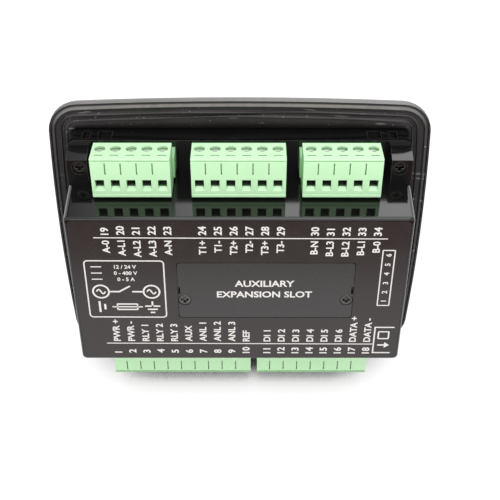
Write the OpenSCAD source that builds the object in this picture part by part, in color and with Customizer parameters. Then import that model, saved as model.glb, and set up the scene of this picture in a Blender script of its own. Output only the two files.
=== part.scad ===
// Compact generator-set controller for a door or desk panel, seen from its terminal side.
// +Z is up, the display faces -Y, the rear label faces +Y, and the origin is the centre of the
// cut-out on the front of the panel sheet.

/* [Front bezel] */
// Width of the bezel, at the middle of its bowed sides
bezel_w = 133.6; // [131:0.2:142]
// Height of the bezel, at the middle of its bowed edges
bezel_h = 107.6; // [105:0.2:116]
// Depth of the bezel in front of the panel
bezel_d = 10.3; // [9.8:0.1:12]
// How far each edge of the bezel bows out between its corners
bezel_bow = 1.7; // [0.8:0.1:2.2]
// Corner radius of the bezel
bezel_r = 9.5; // [8:0.5:14]
// Straight band round the bezel before it slopes to the front
bezel_band = 2.2; // [0.6:0.1:2.6]
// Slope of the bezel's border, from the side towards the front
bezel_slope = 50; // [44:1:54]
// Depth of the recessed front field
field_recess = 0.8; // [0.5:0.1:1.2]
// Thickness of the front plate
front_plate = 2.2; // [1.8:0.1:2.6]

/* [Panel fit] */
// Width of the cut-out in the panel
cutout_w = 117; // [116.5:0.1:119]
// Height of the cut-out in the panel
cutout_h = 87; // [86.5:0.1:90]
// Play between the housing and the cut-out, each side
cutout_play = 0.3; // [0.1:0.05:0.5]
// Thickness of the gasket's base sheet
gasket_base = 0.9; // [0.6:0.1:1.2]
// Height of the gasket's ribs
gasket_rib_h = 0.8; // [0.5:0.1:1]
// Number of ribs round the gasket
gasket_ribs = 3; // [2:1:5]

/* [Rear housing] */
// Depth behind the panel, to the face of the rear label
rear_d = 35.7; // [33:0.1:42]
// Depth of the tray floor behind the panel
tray_d = 7.7; // [7.4:0.1:8.6]
// Height of the raised box at its rear edge
box_h = 61; // [57:0.5:61.5]
// Wall thickness of the housing
wall = 2; // [1.7:0.1:2.2]
// Thickness of the rear wall, which carries the module cover
rear_wall = 3; // [2.8:0.1:4]
// Draft of the raised box
draft = 3; // [2:0.1:3.2]
// Width of each corner boss
boss_w = 7; // [6.4:0.1:7.6]
// Height of each corner boss above the ledge
boss_h = 9.4; // [8:0.1:9.8]
// Height of each corner boss above the tray floor
boss_d = 8.2; // [6:0.1:10]

/* [Rear cover] */
// Width of the cover over the module bay
cover_w = 59.2; // [50:0.2:64]
// Height of the cover over the module bay
cover_h = 23.2; // [20:0.2:26]
// Sideways place of the cover's centre
cover_x = -8.8; // [-12:0.2:-4]
// Height of the cover's centre
cover_z = 1; // [-2:0.2:4]
// Thickness of the cover
cover_t = 1.8; // [1.6:0.1:2]

/* [Terminals] */
// Pitch of the terminals
pitch = 5.08; // [5, 5.08]
// Height of a plug, across its screw side
plug_h = 14.5; // [13.6:0.1:16]
// Depth of a plug behind the rim of its header
plug_d = 10.6; // [9.8:0.1:12]
// Height of a header above the board
header_h = 11.1; // [10.4:0.1:12]
// Width of a header across its short side
header_t = 7.8; // [7.4:0.1:8.2]
// Wall of a header
header_wall = 0.9; // [0.7:0.05:1]
// Size of the square wire entries
entry = 2.9; // [2.6:0.1:3.1]
// Diameter of the screw wells
well_d = 3.6; // [3.5:0.1:4.1]
// Place of the generator voltage plug along the top row
generator_x = 35; // [34.4:0.1:35.4]
// Place of the current plug along the top row
current_x = 0.2; // [-1:0.1:1.4]
// Place of the mains voltage plug along the top row
mains_x = -33.4; // [-34.6:0.1:-32.4]
// Place of the power plug along the bottom row
power_x = 21.7; // [21.5:0.1:21.9]
// Place of the input plug along the bottom row
input_x = -26.6; // [-26.8:0.1:-26.4]

/* [Front panel] */
// Width of the display opening
window_w = 70; // [60:1:72]
// Height of the display opening
window_h = 38; // [30:1:40]
// Height of the display's centre
window_z = 17; // [15:0.5:18]
// Width of the mode keys in the lower row
mode_key_w = 18; // [15:0.5:20]
// Height of the mode keys
mode_key_h = 13; // [10:0.5:13.5]
// Width of the menu keys beside the display
menu_key_w = 13; // [10:0.5:13.4]
// Height of the menu keys
menu_key_h = 9; // [7:0.5:11]
// Travel of a key
key_travel = 0.6; // [0.3:0.1:0.8]

/* [Electronics] */
// Depth of the board's front face behind the panel
board_y = 2.1; // [1.7:0.1:2.3]
// Thickness of the board
board_t = 1.6; // [1:0.1:1.6]
// Width of the square data port
port_w = 12; // [11:0.1:13]
// Height of the data port above the board
port_h = 10.8; // [10:0.1:12]
// Height of the data port's centre
port_z = -21; // [-22:0.2:-19]

/* [Hidden] */
$fn = 48;
skin = 0.02;
past = 1;
film_t = 0.2;
corner_steps = 7;
edge_steps = 8;

// Fits
seat_play = 0.15;
slide_play = 0.25;
plug_gap = 0.2;
pin_play = 0.15;
screw_play = 0.05;
hole_play = 0.2;
cover_play = 0.15;
label_play = 0.1;

// Depth stations, from the front of the panel
lip_rise = 1.35;
flange_y = -(gasket_base + gasket_rib_h);
lip_y = flange_y + lip_rise;
field_y = -bezel_d + field_recess;
plate_y = field_y + front_plate;
board_rear = board_y + board_t;
floor_y = tray_d - wall;
rear_face = rear_d - film_t;
rim_y = board_rear + header_h;
plug_y = rim_y + plug_gap;
boss_y = tray_d + boss_d;

// Tray and raised box
tray_w = cutout_w - 2 * cutout_play;
tray_h = cutout_h - 2 * cutout_play;
tray_r = 3;
box_step = 0.3;
box_r = 1.6;
box_r_least = 0.4;
box_edge = 1.1;
box_edge_facets = 3;
slope = tan(draft);
function half_w(y) = tray_w / 2 - box_step - slope * (y - tray_d);
function ledge(y) = box_h / 2 + slope * (rear_d - y);

// Corner screws
screw_d = 3;
screw_head_d = 4.4;
screw_head_h = 1.9;
screw_side = 2.9;
screw_down = 4.1;
screw_sink = 0.7;
screw_hole = screw_d + 2 * hole_play;
screw_well = screw_head_d + 2 * hole_play;
screw_x = tray_w / 2 - wall - screw_side;
screw_z = ledge(tray_d) + boss_h - screw_down;
screw_seat = boss_y - screw_sink - screw_head_h;
post_d = 2 * (tray_w / 2 - wall - screw_x - seat_play);

// Terminal blocks: name, terminals, place along the row, side of the housing
BLOCKS = [
    ["generator", 5, generator_x, 1],
    ["current", 6, current_x, 1],
    ["mains", 5, mains_x, 1],
    ["power", 10, power_x, -1],
    ["input", 8, input_x, -1],
];
plug_end = 0.1;
plug_lift = 0.3;
header_over = 0.5;
header_up = 0.95;
plug_z = ledge(rim_y) + plug_lift;
header_z = plug_z + header_up;
pin_z = header_z + header_t / 2;
header_base = 2.3;
pin_w = 1;
pin_hole = 1.6;
nose_d = 7.6;
nose_t = header_t - 2 * header_wall - 2 * slide_play;

// Plug: lip, steps and inner chamber, from the plug's lower edge and front shoulder
lip_h = 0.4;
lip_out = 0.15;
lip_groove_h = 0.5;
lip_groove_in = 0.4;
foot_h = 1.3;
foot_groove = 0.25;
lead_in = 1.2;
screw_back = 6.8;
well_in = 3.4;
clamp_w = 3.9;
clamp_l = 5.2;
clamp_h = 4.8;
clamp_wall = 0.6;
clamp_top = 1;
clamp_up = 0.4;
clamp_y = plug_y + plug_d - screw_back - clamp_l / 2;
entry_z = pin_z + clamp_up;
clamp_z = entry_z - clamp_h / 2;
contact_t = 2.2;
contact_tip = 1;
shank_d = 2.5;

// Front controls: name, place across, place up, width, height
lens_lip = 1.8;
menu_gap = 2.7;
menu_drop = 2;
menu_pitch = 18;
menu_x = window_w / 2 + lens_lip + menu_gap + menu_key_w / 2;
MENU_Z = [for (s = [1, -1]) window_z - menu_drop + s * menu_pitch / 2];
mode_side = 14.8;
mode_low = 25.8;
mode_z = -(bezel_h / 2 - mode_low);
mode_pitch = (bezel_w - 2 * mode_side) / 4;
KEYS = [
    ["left_key", -menu_x, MENU_Z[0], menu_key_w, menu_key_h],
    ["down_key", -menu_x, MENU_Z[1], menu_key_w, menu_key_h],
    ["right_key", menu_x, MENU_Z[0], menu_key_w, menu_key_h],
    ["up_key", menu_x, MENU_Z[1], menu_key_w, menu_key_h],
    ["run_key", -1.5 * mode_pitch, mode_z, mode_key_w, mode_key_h],
    ["test_key", -0.5 * mode_pitch, mode_z, mode_key_w, mode_key_h],
    ["auto_key", 0.5 * mode_pitch, mode_z, mode_key_w, mode_key_h],
    ["stop_key", 1.5 * mode_pitch, mode_z, mode_key_w, mode_key_h],
];
key_r = 2.5;
key_flange = 1.2;
key_flange_t = 1.2;
key_rim = 0.5;
stem_d = 3.2;
switch_w = 6;
switch_h = 3.4;
switch_y = board_y - switch_h;
stem_in = 0.7;
stem_y = switch_y + stem_in;
lamp_gap = 5;
lamp_z = mode_z + mode_key_h / 2 + lamp_gap;
pipe_d = 2.8;
led_h = 1;
led_w = 2;
led_l = 1.2;

// Display stack behind the window
lens_t = 1.4;
view_margin = 2;
cell_t = 2.2;
light_t = 3;
holder_wall = 1.6;
cell_gap = 0.4;
cell_y = plate_y + cell_gap;
light_y = cell_y + cell_t;
holder_y = light_y + light_t;

// Data port, opening sideways
port_l = 16;
port_wall = 0.4;
port_inset = 1;
port_x = -(tray_w / 2 - port_inset);

// Bracket pockets in the top and bottom of the tray: inner edge and width of each
POCKETS = [[43.4, 4.4], [50.8, 2.4]];
pocket_depth = 1.2;
pocket_y = 1.2;

// Outline of a w by h rectangle with corners of radius r, point by point
function turn(cx, cz, r, start) =
    [for (i = [0:corner_steps])
        let (a = start + 90 * i / corner_steps)
        [cx + r * cos(a), cz + r * sin(a)]];
function between(p, q, steps) = [for (i = [1:1:steps - 1]) p + (q - p) * i / steps];
function rounded(w, h, r, steps = 1) =
    let (cx = w / 2 - r, cz = h / 2 - r)
    let (left = [turn(-cx, cz, r, 90), turn(-cx, -cz, r, 180)])
    let (corners = [turn(cx, cz, r, 0), left[0], left[1], turn(cx, -cz, r, 270)])
    [for (i = [0:3])
        let (next = corners[(i + 1) % 4][0])
        each concat(corners[i], between(corners[i][corner_steps], next, steps))];

// The same outline with its sides bowed out by up to bow_x and bow_z, so that w and h are its full size
function barrel(w, h, r, bow_x, bow_z) =
    let (hx = w / 2 - bow_x, hz = h / 2 - bow_z)
    [for (p = rounded(2 * hx, 2 * hz, r, edge_steps))
        let (sx = 1 - pow(p[1] / hz, 2), sz = 1 - pow(p[0] / hx, 2))
        [p[0] * (1 + bow_x / hx * sx), p[1] * (1 + bow_z / hz * sz)]];

// An outline in X and Z carried along Y, and one in Y and Z carried along X
module along_y(y0, y1) {
    translate([0, y1, 0]) rotate([90, 0, 0]) linear_extrude(y1 - y0) children();
}
module along_x(x0, x1) {
    translate([x0, 0, 0]) rotate([90, 0, 90]) linear_extrude(x1 - x0) children();
}
module block(x0, x1, y0, y1, z0, z1) {
    translate([x0, y0, z0]) cube([x1 - x0, y1 - y0, z1 - z0]);
}
module at_corners(x, z) {
    for (sx = [-1, 1], sz = [-1, 1]) translate([sx * x, 0, sz * z]) children();
}
module on_side(side) {
    mirror([0, 0, side > 0 ? 0 : 1]) children();
}

// Bezel: drafted band, rounded shoulder, slope and front edge, as depth and inset pairs
band_draft = 0.08;
shoulder_r = 4.3;
front_r = 2;
shoulder_steps = 4;
front_steps = 3;
slope_end = bezel_d - front_r * (1 - sin(bezel_slope));
function shoulder(a) = [bezel_band + shoulder_r * sin(a), shoulder_r * (1 - cos(a))];
shoulder_end = shoulder(bezel_slope);
slope_inset = shoulder_end[1] + (slope_end - shoulder_end[0]) * tan(bezel_slope);
function front_edge(a) =
    [bezel_d - front_r * (1 - sin(a)), slope_inset + front_r * (cos(bezel_slope) - cos(a))];
BEZEL_PROFILE = concat(
    [[-lip_y, band_draft]],
    [for (i = [0:shoulder_steps]) shoulder(bezel_slope * i / shoulder_steps)],
    [for (i = [0:front_steps]) front_edge(bezel_slope + (90 - bezel_slope) * i / front_steps)]
);
front_inset = front_edge(90)[1];
field_margin = 1.6;
field_w = bezel_w - 2 * (front_inset + field_margin);
field_h = bezel_h - 2 * (front_inset + field_margin);
field_r = 3;
lip_w = 0.7;
film_edge = 0.6;

// Outline of the bezel moved inwards, its corners tightening by a share of the move. A flange narrower
// than bow_room bows less, so that the gasket still runs all round.
corner_share = 0.6;
corner_least = 2;
bow_room = 8;
function bow_beside(flange) = bezel_bow * min(1, flange / bow_room);
bow_x = bow_beside((bezel_w - tray_w) / 2);
bow_z = bow_beside((bezel_h - tray_h) / 2);
module bezel_outline(inset, share = corner_share) {
    r = max(bezel_r - share * inset, corner_least);
    polygon(barrel(bezel_w - 2 * inset, bezel_h - 2 * inset, r, bow_x, bow_z));
}

module key_outlines(grow) {
    for (k = KEYS) translate([k[1], k[2]])
        polygon(rounded(k[3] + 2 * grow, k[4] + 2 * grow, key_r + grow));
}

module lamp_places() {
    for (i = [0:3]) translate([(i - 1.5) * mode_pitch, lamp_z]) children();
}

module front_bezel() {
    color("#1b1a1b") difference() {
        union() {
            difference() {
                hull() for (s = BEZEL_PROFILE) along_y(-s[0], -s[0] + skin) bezel_outline(s[1]);
                along_y(flange_y, past) bezel_outline(lip_w);
                along_y(plate_y, past) tray_inside();
                along_y(-bezel_d - past, field_y) polygon(rounded(field_w, field_h, field_r));
            }
            along_y(plate_y - skin, board_y) at_posts();
        }
        along_y(plate_y + past, board_y + past) at_posts(screw_d + 2 * screw_play);
        along_y(field_y - past, plate_y + past) window_outline(0);
        along_y(field_y - past, field_y + lens_t) window_outline(lens_lip);
        along_y(field_y - past, plate_y + past) key_outlines(slide_play);
        along_y(field_y - past, plate_y + past) lamp_places() circle(d = pipe_d + 2 * seat_play);
    }
}

module tray_inside() {
    polygon(rounded(tray_w - 2 * wall, tray_h - 2 * wall, tray_r - 1));
}

module at_posts(d = post_d) {
    for (sx = [-1, 1], sz = [-1, 1]) translate([sx * screw_x, sz * screw_z]) circle(d = d);
}

module window_outline(grow) {
    translate([0, window_z]) polygon(rounded(window_w + 2 * grow, window_h + 2 * grow, 1 + grow));
}

module front_overlay() {
    color("#2b2c2e") along_y(field_y - film_t, field_y) difference() {
        polygon(rounded(field_w - 2 * film_edge, field_h - 2 * film_edge, field_r - film_edge));
        window_outline(-view_margin / 2);
        key_outlines(slide_play + film_edge / 2);
        lamp_places() circle(d = pipe_d + 2 * seat_play);
    }
}

module display_window() {
    color("#9fb0b5") along_y(field_y, field_y + lens_t) window_outline(lens_lip - seat_play);
}

module cell_outline(grow) {
    w = window_w - view_margin + 2 * grow;
    h = window_h + view_margin + 2 * grow;
    translate([0, window_z]) square([w, h], true);
}

module display_glass() {
    color("#8fa08a") along_y(cell_y, light_y) cell_outline(0);
}

module display_backlight() {
    color("#e8ece6") along_y(light_y, holder_y) cell_outline(0);
}

// Tray on the board that the glass and the light block lie in
module display_holder() {
    color("#d9d8d2") difference() {
        along_y(cell_y, board_y) cell_outline(holder_wall);
        along_y(cell_y - past, holder_y) cell_outline(seat_play);
    }
}

// Cap through the plate, retaining flange behind it and stem into the switch
module key(k) {
    color(k[0] == "stop_key" ? "#a83a34" : "#8d8f92") translate([k[1], 0, k[2]]) {
        along_y(-bezel_d + key_rim, plate_y) polygon(rounded(k[3], k[4], key_r));
        along_y(-bezel_d, -bezel_d + key_rim)
            polygon(rounded(k[3] - 2 * key_rim, k[4] - 2 * key_rim, key_r - key_rim));
        along_y(plate_y, plate_y + key_flange_t)
            polygon(rounded(k[3] + 2 * key_flange, k[4] + 2 * key_flange, key_r + key_flange));
        along_y(plate_y, stem_y) circle(d = stem_d);
    }
}

module tact_switches() {
    color("#2a2a2c") for (k = KEYS) translate([k[1], 0, k[2]]) difference() {
        along_y(switch_y, board_y) square(switch_w, true);
        along_y(switch_y - past, stem_y + key_travel + seat_play) circle(d = stem_d + 2 * slide_play);
    }
}

module light_pipes() {
    color("#d7e3dc") along_y(field_y - film_t, board_y - led_h) lamp_places() circle(d = pipe_d);
}

module status_leds() {
    color("#f0efe2") along_y(board_y - led_h, board_y) lamp_places() square([led_w, led_l], true);
}

// Rubber ring on the flange, with ribs that run round it like contour lines
gasket_lip = 0.25;
rib_first = 1.6;
rib_step = 2.2;
rib_half = 0.5;
rib_share = 1.1;

module panel_gasket() {
    color("#232122") difference() {
        union() {
            along_y(flange_y, flange_y + gasket_base) bezel_outline(lip_w + gasket_lip);
            for (i = [0:gasket_ribs - 1]) along_y(flange_y, 0) difference() {
                bezel_outline(rib_first + i * rib_step - rib_half, rib_share);
                bezel_outline(rib_first + i * rib_step + rib_half, rib_share);
            }
        }
        along_y(flange_y - past, past)
            polygon(rounded(tray_w + 2 * seat_play, tray_h + 2 * seat_play, tray_r));
    }
}

// Raised box with draft, one skin inset from the next, its rear edge turned in by a quarter round
module box_skin(inset, y0, y1, edge, facets) {
    r = max(box_r - inset, box_r_least);
    module slice(y, turned) {
        along_y(y - skin, y)
            polygon(rounded(2 * (half_w(y) - inset - turned), 2 * (ledge(y) - inset - turned), r));
    }
    hull() {
        slice(y0 + skin, 0);
        for (i = [0:facets]) {
            angle = 90 * i / facets;
            slice(y1 - edge * (1 - sin(angle)), edge * (1 - cos(angle)));
        }
    }
}

// Corner boss, flush with the drafted side of the box and sunk into its ledge, its top falling rearwards
boss_fall = 0.6;
module corner_boss() {
    function upper(y) = ledge(y) + boss_h - boss_fall * (y - floor_y) / (boss_y - floor_y);
    boss_low = ledge(rear_d) - wall / 2;
    hull() {
        for (y = [floor_y, boss_y - skin])
            block(half_w(y) - boss_w, half_w(y), y, y + skin, boss_low, upper(y));
    }
}

module header_outline(b, grow) {
    l = b[1] * pitch + 2 * (plug_end + header_over + grow);
    low = b[3] > 0 ? header_z : -header_z - header_t;
    translate([b[2] - l / 2, low - grow]) square([l, header_t + 2 * grow]);
}

module cover_outline(grow, r = 1) {
    translate([cover_x, cover_z]) polygon(rounded(cover_w + 2 * grow, cover_h + 2 * grow, r));
}

// Screws at the two ends of the cover, a little below its middle
cover_screw_in = 2.1;
cover_screw_down = 4;
cover_screw_d = 2.5;
cover_head_d = 4.1;
cover_head_h = 0.9;
cover_post_d = 5.4;
cover_post_l = 6;
cover_ledge = 1;
cover_rest = rear_face - cover_t + film_t;

cover_screw_x = cover_w / 2 - cover_screw_in;
cover_screw_z = cover_z - cover_screw_down;
module cover_screw_places() {
    for (s = [-1, 1]) translate([cover_x + s * cover_screw_x, cover_screw_z]) children();
}

module rear_housing() {
    color("#1d1b1c") difference() {
        union() {
            difference() {
                union() {
                    along_y(flange_y, tray_d) polygon(rounded(tray_w, tray_h, tray_r));
                    box_skin(0, floor_y, rear_face, box_edge, box_edge_facets);
                    for (sx = [0, 1], sz = [0, 1]) mirror([sx, 0, 0]) mirror([0, 0, sz]) corner_boss();
                }
                along_y(flange_y - past, floor_y) tray_inside();
                box_skin(wall, floor_y - past, rear_face - rear_wall, skin, 1);
                along_y(floor_y - past, tray_d + past) for (b = BLOCKS) header_outline(b, seat_play);
                along_y(rear_face - rear_wall - past, rear_face + past) cover_outline(-cover_ledge);
                along_y(cover_rest, rear_face + past) cover_outline(cover_play);
                port_opening();
                for (sx = [0, 1], sz = [0, 1]) mirror([sx, 0, 0]) mirror([0, 0, sz]) bracket_pockets();
            }
            along_y(board_rear, floor_y + skin) at_posts();
            along_y(cover_rest - cover_post_l, cover_rest)
                cover_screw_places() circle(d = cover_post_d);
        }
        along_y(board_rear - past, boss_y + past) at_posts(screw_hole);
        along_y(screw_seat, boss_y + past) at_posts(screw_well);
        along_y(cover_rest - cover_post_l - past, cover_rest + past)
            cover_screw_places() circle(d = cover_screw_d + 2 * screw_play);
    }
}

module bracket_pockets() {
    for (p = POCKETS)
        block(p[0], p[0] + p[1], pocket_y, tray_d - pocket_y,
            tray_h / 2 - pocket_depth, tray_h / 2 + past);
}

module port_opening() {
    half = port_w / 2 + slide_play;
    block(-tray_w / 2 - past, -tray_w / 2 + wall + 2 * past,
        board_rear - slide_play, board_rear + port_h + slide_play, port_z - half, port_z + half);
}

// Printed film on the rear face, open round the cover
label_in = 1.1;
module rear_label() {
    color("#322c2b") along_y(rear_face, rear_d) difference() {
        polygon(rounded(2 * (half_w(rear_face) - label_in), 2 * (ledge(rear_face) - label_in), box_r));
        cover_outline(cover_play + label_play);
    }
}

// Blank cover with counterbored screws and a pry notch at each end
notch_w = 0.7;
notch_h = 3.3;
notch_up = 0.2;
module module_cover() {
    color("#2d2828") difference() {
        along_y(cover_rest, rear_d) cover_outline(0);
        along_y(cover_rest - past, rear_d + past)
            cover_screw_places() circle(d = cover_screw_d + 4 * screw_play);
        along_y(rear_d - cover_head_h - seat_play, rear_d + past)
            cover_screw_places() circle(d = cover_head_d + 2 * hole_play);
        for (s = [-1, 1]) translate([cover_x + s * cover_w / 2, 0, cover_z + notch_up])
            block(-notch_w, notch_w, cover_rest - past, rear_d + past, -notch_h / 2, notch_h / 2);
    }
}

// Pan head with a cross recess, its top at y = 0 and its shank towards -Y
cross_wide = 0.2;
cross_long = 0.62;
cross_deep = 0.6;
module cross_screw(head_d, head_h, shank, length) {
    cross_w = head_d * cross_wide;
    cross_l = head_d * cross_long;
    difference() {
        union() {
            along_y(-head_h, 0) circle(d = head_d);
            along_y(-head_h - length, -head_h) circle(d = shank);
        }
        for (a = [0, 90]) rotate([0, a, 0])
            block(-cross_l / 2, cross_l / 2, -head_h * cross_deep, past, -cross_w / 2, cross_w / 2);
    }
}

module cover_screws() {
    color("#3a3a3c") for (s = [-1, 1])
        translate([cover_x + s * cover_screw_x, rear_d - seat_play, cover_screw_z])
            cross_screw(cover_head_d, cover_head_h, cover_screw_d, cover_post_l - 1);
}

module housing_screws() {
    length = screw_seat - plate_y - 2 * past;
    color("#3f3e40") at_corners(screw_x, screw_z) translate([0, screw_seat + screw_head_h, 0])
        cross_screw(screw_head_d, screw_head_h, screw_d, length);
}

socket_w = 28;
socket_t = 5;
socket_h = 8.5;
socket_ways = 10;
socket_pitch = 2.54;
socket_hole = 0.8;
socket_hole_d = 5;
module module_socket() {
    top = board_rear + socket_h;
    color("#1c1c1e") difference() {
        block(cover_x - socket_w / 2, cover_x + socket_w / 2, board_rear, top,
            cover_z - socket_t / 2, cover_z + socket_t / 2);
        for (i = [0:socket_ways - 1], s = [-0.5, 0.5]) {
            x = cover_x + (i - (socket_ways - 1) / 2) * socket_pitch;
            translate([x, 0, cover_z + s * socket_pitch])
                along_y(top - socket_hole_d, top + past) square(socket_hole, true);
        }
    }
}

function terminal_x(b, i) = b[2] + (i - (b[1] - 1) / 2) * pitch;

module board_pin_holes() {
    for (b = BLOCKS, i = [0:b[1] - 1])
        translate([terminal_x(b, i), b[3] * pin_z]) circle(d = pin_hole);
}

board_play = 0.4;
module main_board() {
    w = tray_w - 2 * (wall + board_play);
    h = tray_h - 2 * (wall + board_play);
    color("#2f6b3f") along_y(board_y, board_rear) difference() {
        polygon(rounded(w, h, tray_r - 1));
        at_posts(screw_hole);
        board_pin_holes();
    }
}

// Open-topped header with a slot over each pin
slot_w = 1.6;
slot_d = 4.5;
module header(b) {
    half = b[1] * pitch / 2 + plug_end + header_over;
    color("#93d69a") on_side(b[3]) difference() {
        block(b[2] - half, b[2] + half, board_rear, rim_y, header_z, header_z + header_t);
        block(b[2] - half + header_wall, b[2] + half - header_wall,
            board_rear + header_base, rim_y + past,
            header_z + header_wall, header_z + header_t - header_wall);
        for (i = [0:b[1] - 1]) {
            x = terminal_x(b, i);
            block(x - slot_w / 2, x + slot_w / 2, rim_y - slot_d, rim_y + past,
                header_z + header_t - header_wall - past, header_z + header_t + past);
            block(x - pin_w / 2 - screw_play, x + pin_w / 2 + screw_play, board_rear - past, rim_y,
                pin_z - pin_w / 2 - screw_play, pin_z + pin_w / 2 + screw_play);
        }
    }
}

pin_tip = 2.3;
module header_pins() {
    color("#c9c4b4") for (b = BLOCKS, i = [0:b[1] - 1]) on_side(b[3])
        translate([terminal_x(b, i) - pin_w / 2, board_y, pin_z - pin_w / 2])
            cube([pin_w, rim_y - pin_tip - board_y, pin_w]);
}

// Side view of a plug: foot, wire face, groove under the lip, and the nose that enters the header
plug_edge = 0.25;
module plug_profile() {
    y0 = plug_y;
    y1 = plug_y + plug_d;
    z1 = plug_z + plug_h;
    groove_z = z1 - lip_h - lip_groove_h;
    nose_y = plug_y - nose_d;
    polygon([
        [y0, plug_z], [y1 - plug_edge, plug_z], [y1, plug_z + plug_edge],
        [y1, plug_z + foot_h - foot_groove], [y1 - foot_groove, plug_z + foot_h],
        [y1, plug_z + foot_h + foot_groove], [y1, groove_z - plug_edge], [y1 - plug_edge, groove_z],
        [y1 - lip_groove_in, groove_z], [y1 - lip_groove_in, z1 - lip_h],
        [y1 + lip_out, z1 - lip_h], [y1 + lip_out - plug_edge, z1], [y0, z1],
        [y0, pin_z + nose_t / 2], [nose_y, pin_z + nose_t / 2],
        [nose_y, pin_z - nose_t / 2], [y0, pin_z - nose_t / 2]
    ]);
}

// What is cut for one terminal: wire entry with its lead-in, clamp chamber, screw well and pin passage
module terminal_cuts() {
    rear = plug_y + plug_d;
    screw_y = rear - screw_back;
    top = plug_z + plug_h;
    low = entry_z - entry / 2;
    room = clamp_w / 2 + seat_play;
    block(-entry / 2, entry / 2, clamp_y, rear + past, low, low + entry);
    along_x(-entry / 2, entry / 2) polygon([
        [rear - lead_in, low], [rear + skin, low - lead_in], [rear + skin, entry_z],
        [rear - lead_in, entry_z]]);
    block(-room, room, clamp_y - seat_play, clamp_y + clamp_l + seat_play,
        clamp_z, clamp_z + clamp_h + seat_play);
    block(-contact_t / 2 - seat_play, contact_t / 2 + seat_play, plug_y - nose_d - past, clamp_y,
        pin_z - contact_t / 2, pin_z + contact_t / 2 + seat_play);
    translate([0, screw_y, top - well_in]) cylinder(d = well_d, h = well_in + past);
    translate([0, screw_y, pin_z]) cylinder(d = shank_d + 2 * seat_play, h = top - pin_z);
}

// Marks on a plug: a dash behind each screw and a groove between each two terminals
separator_w = 0.4;
separator_in = 0.6;
separator_h = 4.2;
separator_down = 1.6;
separator_side = 0.45;
dash_w = 2.8;
dash_l = 0.5;
dash_in = 1.8;
dash_back = 2.3;
module plug(b) {
    half = b[1] * pitch / 2 + plug_end;
    nose_half = half + header_over - header_wall - slide_play;
    rear = plug_y + plug_d;
    top = plug_z + plug_h;
    separator_top = top - separator_down;
    color("#bdebb5") on_side(b[3]) difference() {
        intersection() {
            along_x(b[2] - half, b[2] + half) plug_profile();
            union() {
                block(b[2] - half, b[2] + half, plug_y, rear + past, 0, top + past);
                block(b[2] - nose_half, b[2] + nose_half,
                    plug_y - nose_d - past, plug_y + skin, 0, top + past);
            }
        }
        for (i = [0:b[1] - 1]) translate([terminal_x(b, i), 0, 0]) {
            terminal_cuts();
            block(-dash_w / 2, dash_w / 2, rear - dash_back - dash_l, rear - dash_back,
                top - dash_in, top + past);
        }
        for (i = [1:1:b[1] - 1]) translate([terminal_x(b, i) - pitch / 2 + separator_side, 0, 0])
            block(-separator_w / 2, separator_w / 2, rear - separator_in, rear + past,
                separator_top - separator_h, separator_top);
    }
}

// Slotted clamp screws, one over each wire
screw_in = 1;
blade_w = 0.6;
blade_d = 0.7;
module plug_screws(b) {
    top = plug_z + plug_h - screw_in;
    seat = plug_z + plug_h - well_in;
    foot = clamp_z + clamp_h - clamp_top;
    head_d = well_d - 2 * seat_play;
    color("#b9bdbb") on_side(b[3]) for (i = [0:b[1] - 1])
        translate([terminal_x(b, i), plug_y + plug_d - screw_back, 0]) difference() {
            union() {
                translate([0, 0, seat]) cylinder(d = head_d, h = top - seat);
                translate([0, 0, foot]) cylinder(d = shank_d, h = seat - foot);
            }
            translate([0, 0, top]) cube([head_d + past, blade_w, 2 * blade_d], true);
        }
}

// Rising cage with a threaded top, and the sleeve that grips the header pin
module plug_clamps(b) {
    grip = pin_w + 2 * pin_play;
    inside = clamp_w / 2 - clamp_wall;
    color("#cdb878") on_side(b[3]) for (i = [0:b[1] - 1])
        translate([terminal_x(b, i), 0, 0]) difference() {
            union() {
                block(-clamp_w / 2, clamp_w / 2, clamp_y, clamp_y + clamp_l,
                    clamp_z, clamp_z + clamp_h);
                block(-contact_t / 2, contact_t / 2,
                    plug_y - nose_d + contact_tip, clamp_y + clamp_wall,
                    pin_z - contact_t / 2, pin_z + contact_t / 2);
            }
            block(-inside, inside, clamp_y + clamp_wall, clamp_y + clamp_l + past,
                clamp_z + clamp_wall, clamp_z + clamp_h - clamp_top);
            block(-grip / 2, grip / 2, plug_y - nose_d, clamp_y + 2 * clamp_wall,
                pin_z - grip / 2, pin_z + grip / 2);
            translate([0, plug_y + plug_d - screw_back, pin_z])
                cylinder(d = shank_d + 2 * screw_play, h = clamp_h);
        }
}

// Square socket for a data lead, with its tongue in the middle
port_base = 5;
tongue_w = 5.6;
tongue_h = 3.2;
tongue_in = 1.5;
module data_port_shell() {
    color("#b8bbbd") difference() {
        block(port_x, port_x + port_l, board_rear, board_rear + port_h,
            port_z - port_w / 2, port_z + port_w / 2);
        block(port_x - past, port_x + port_l - port_wall,
            board_rear + port_wall, board_rear + port_h - port_wall,
            port_z - port_w / 2 + port_wall, port_z + port_w / 2 - port_wall);
    }
}

module data_port_tongue() {
    mid = board_rear + port_h / 2;
    end = port_x + port_l - port_wall;
    half_t = port_w / 2 - port_wall - screw_play;
    half_y = port_h / 2 - port_wall - screw_play;
    color("#e4e4e0") {
        block(end - port_base, end, mid - half_y, mid + half_y, port_z - half_t, port_z + half_t);
        block(port_x + tongue_in, end - port_base + skin, mid - tongue_h / 2, mid + tongue_h / 2,
            port_z - tongue_w / 2, port_z + tongue_w / 2);
    }
}

// Relays on the rear of the board, one above the other near the side wall
relay_w = 28.5;
relay_t = 12.8;
relay_h = 15.8;
relay_r = 0.8;
relay_side = 5.95;
relay_x = tray_w / 2 - relay_side - relay_w / 2;
relay_low = 17;
relay_pitch = 16;
module relays() {
    color("#2b4f86") for (i = [0, 1]) translate([relay_x, 0, i * relay_pitch - relay_low])
        along_y(board_rear, board_rear + relay_h) polygon(rounded(relay_w, relay_t, relay_r));
}

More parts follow.
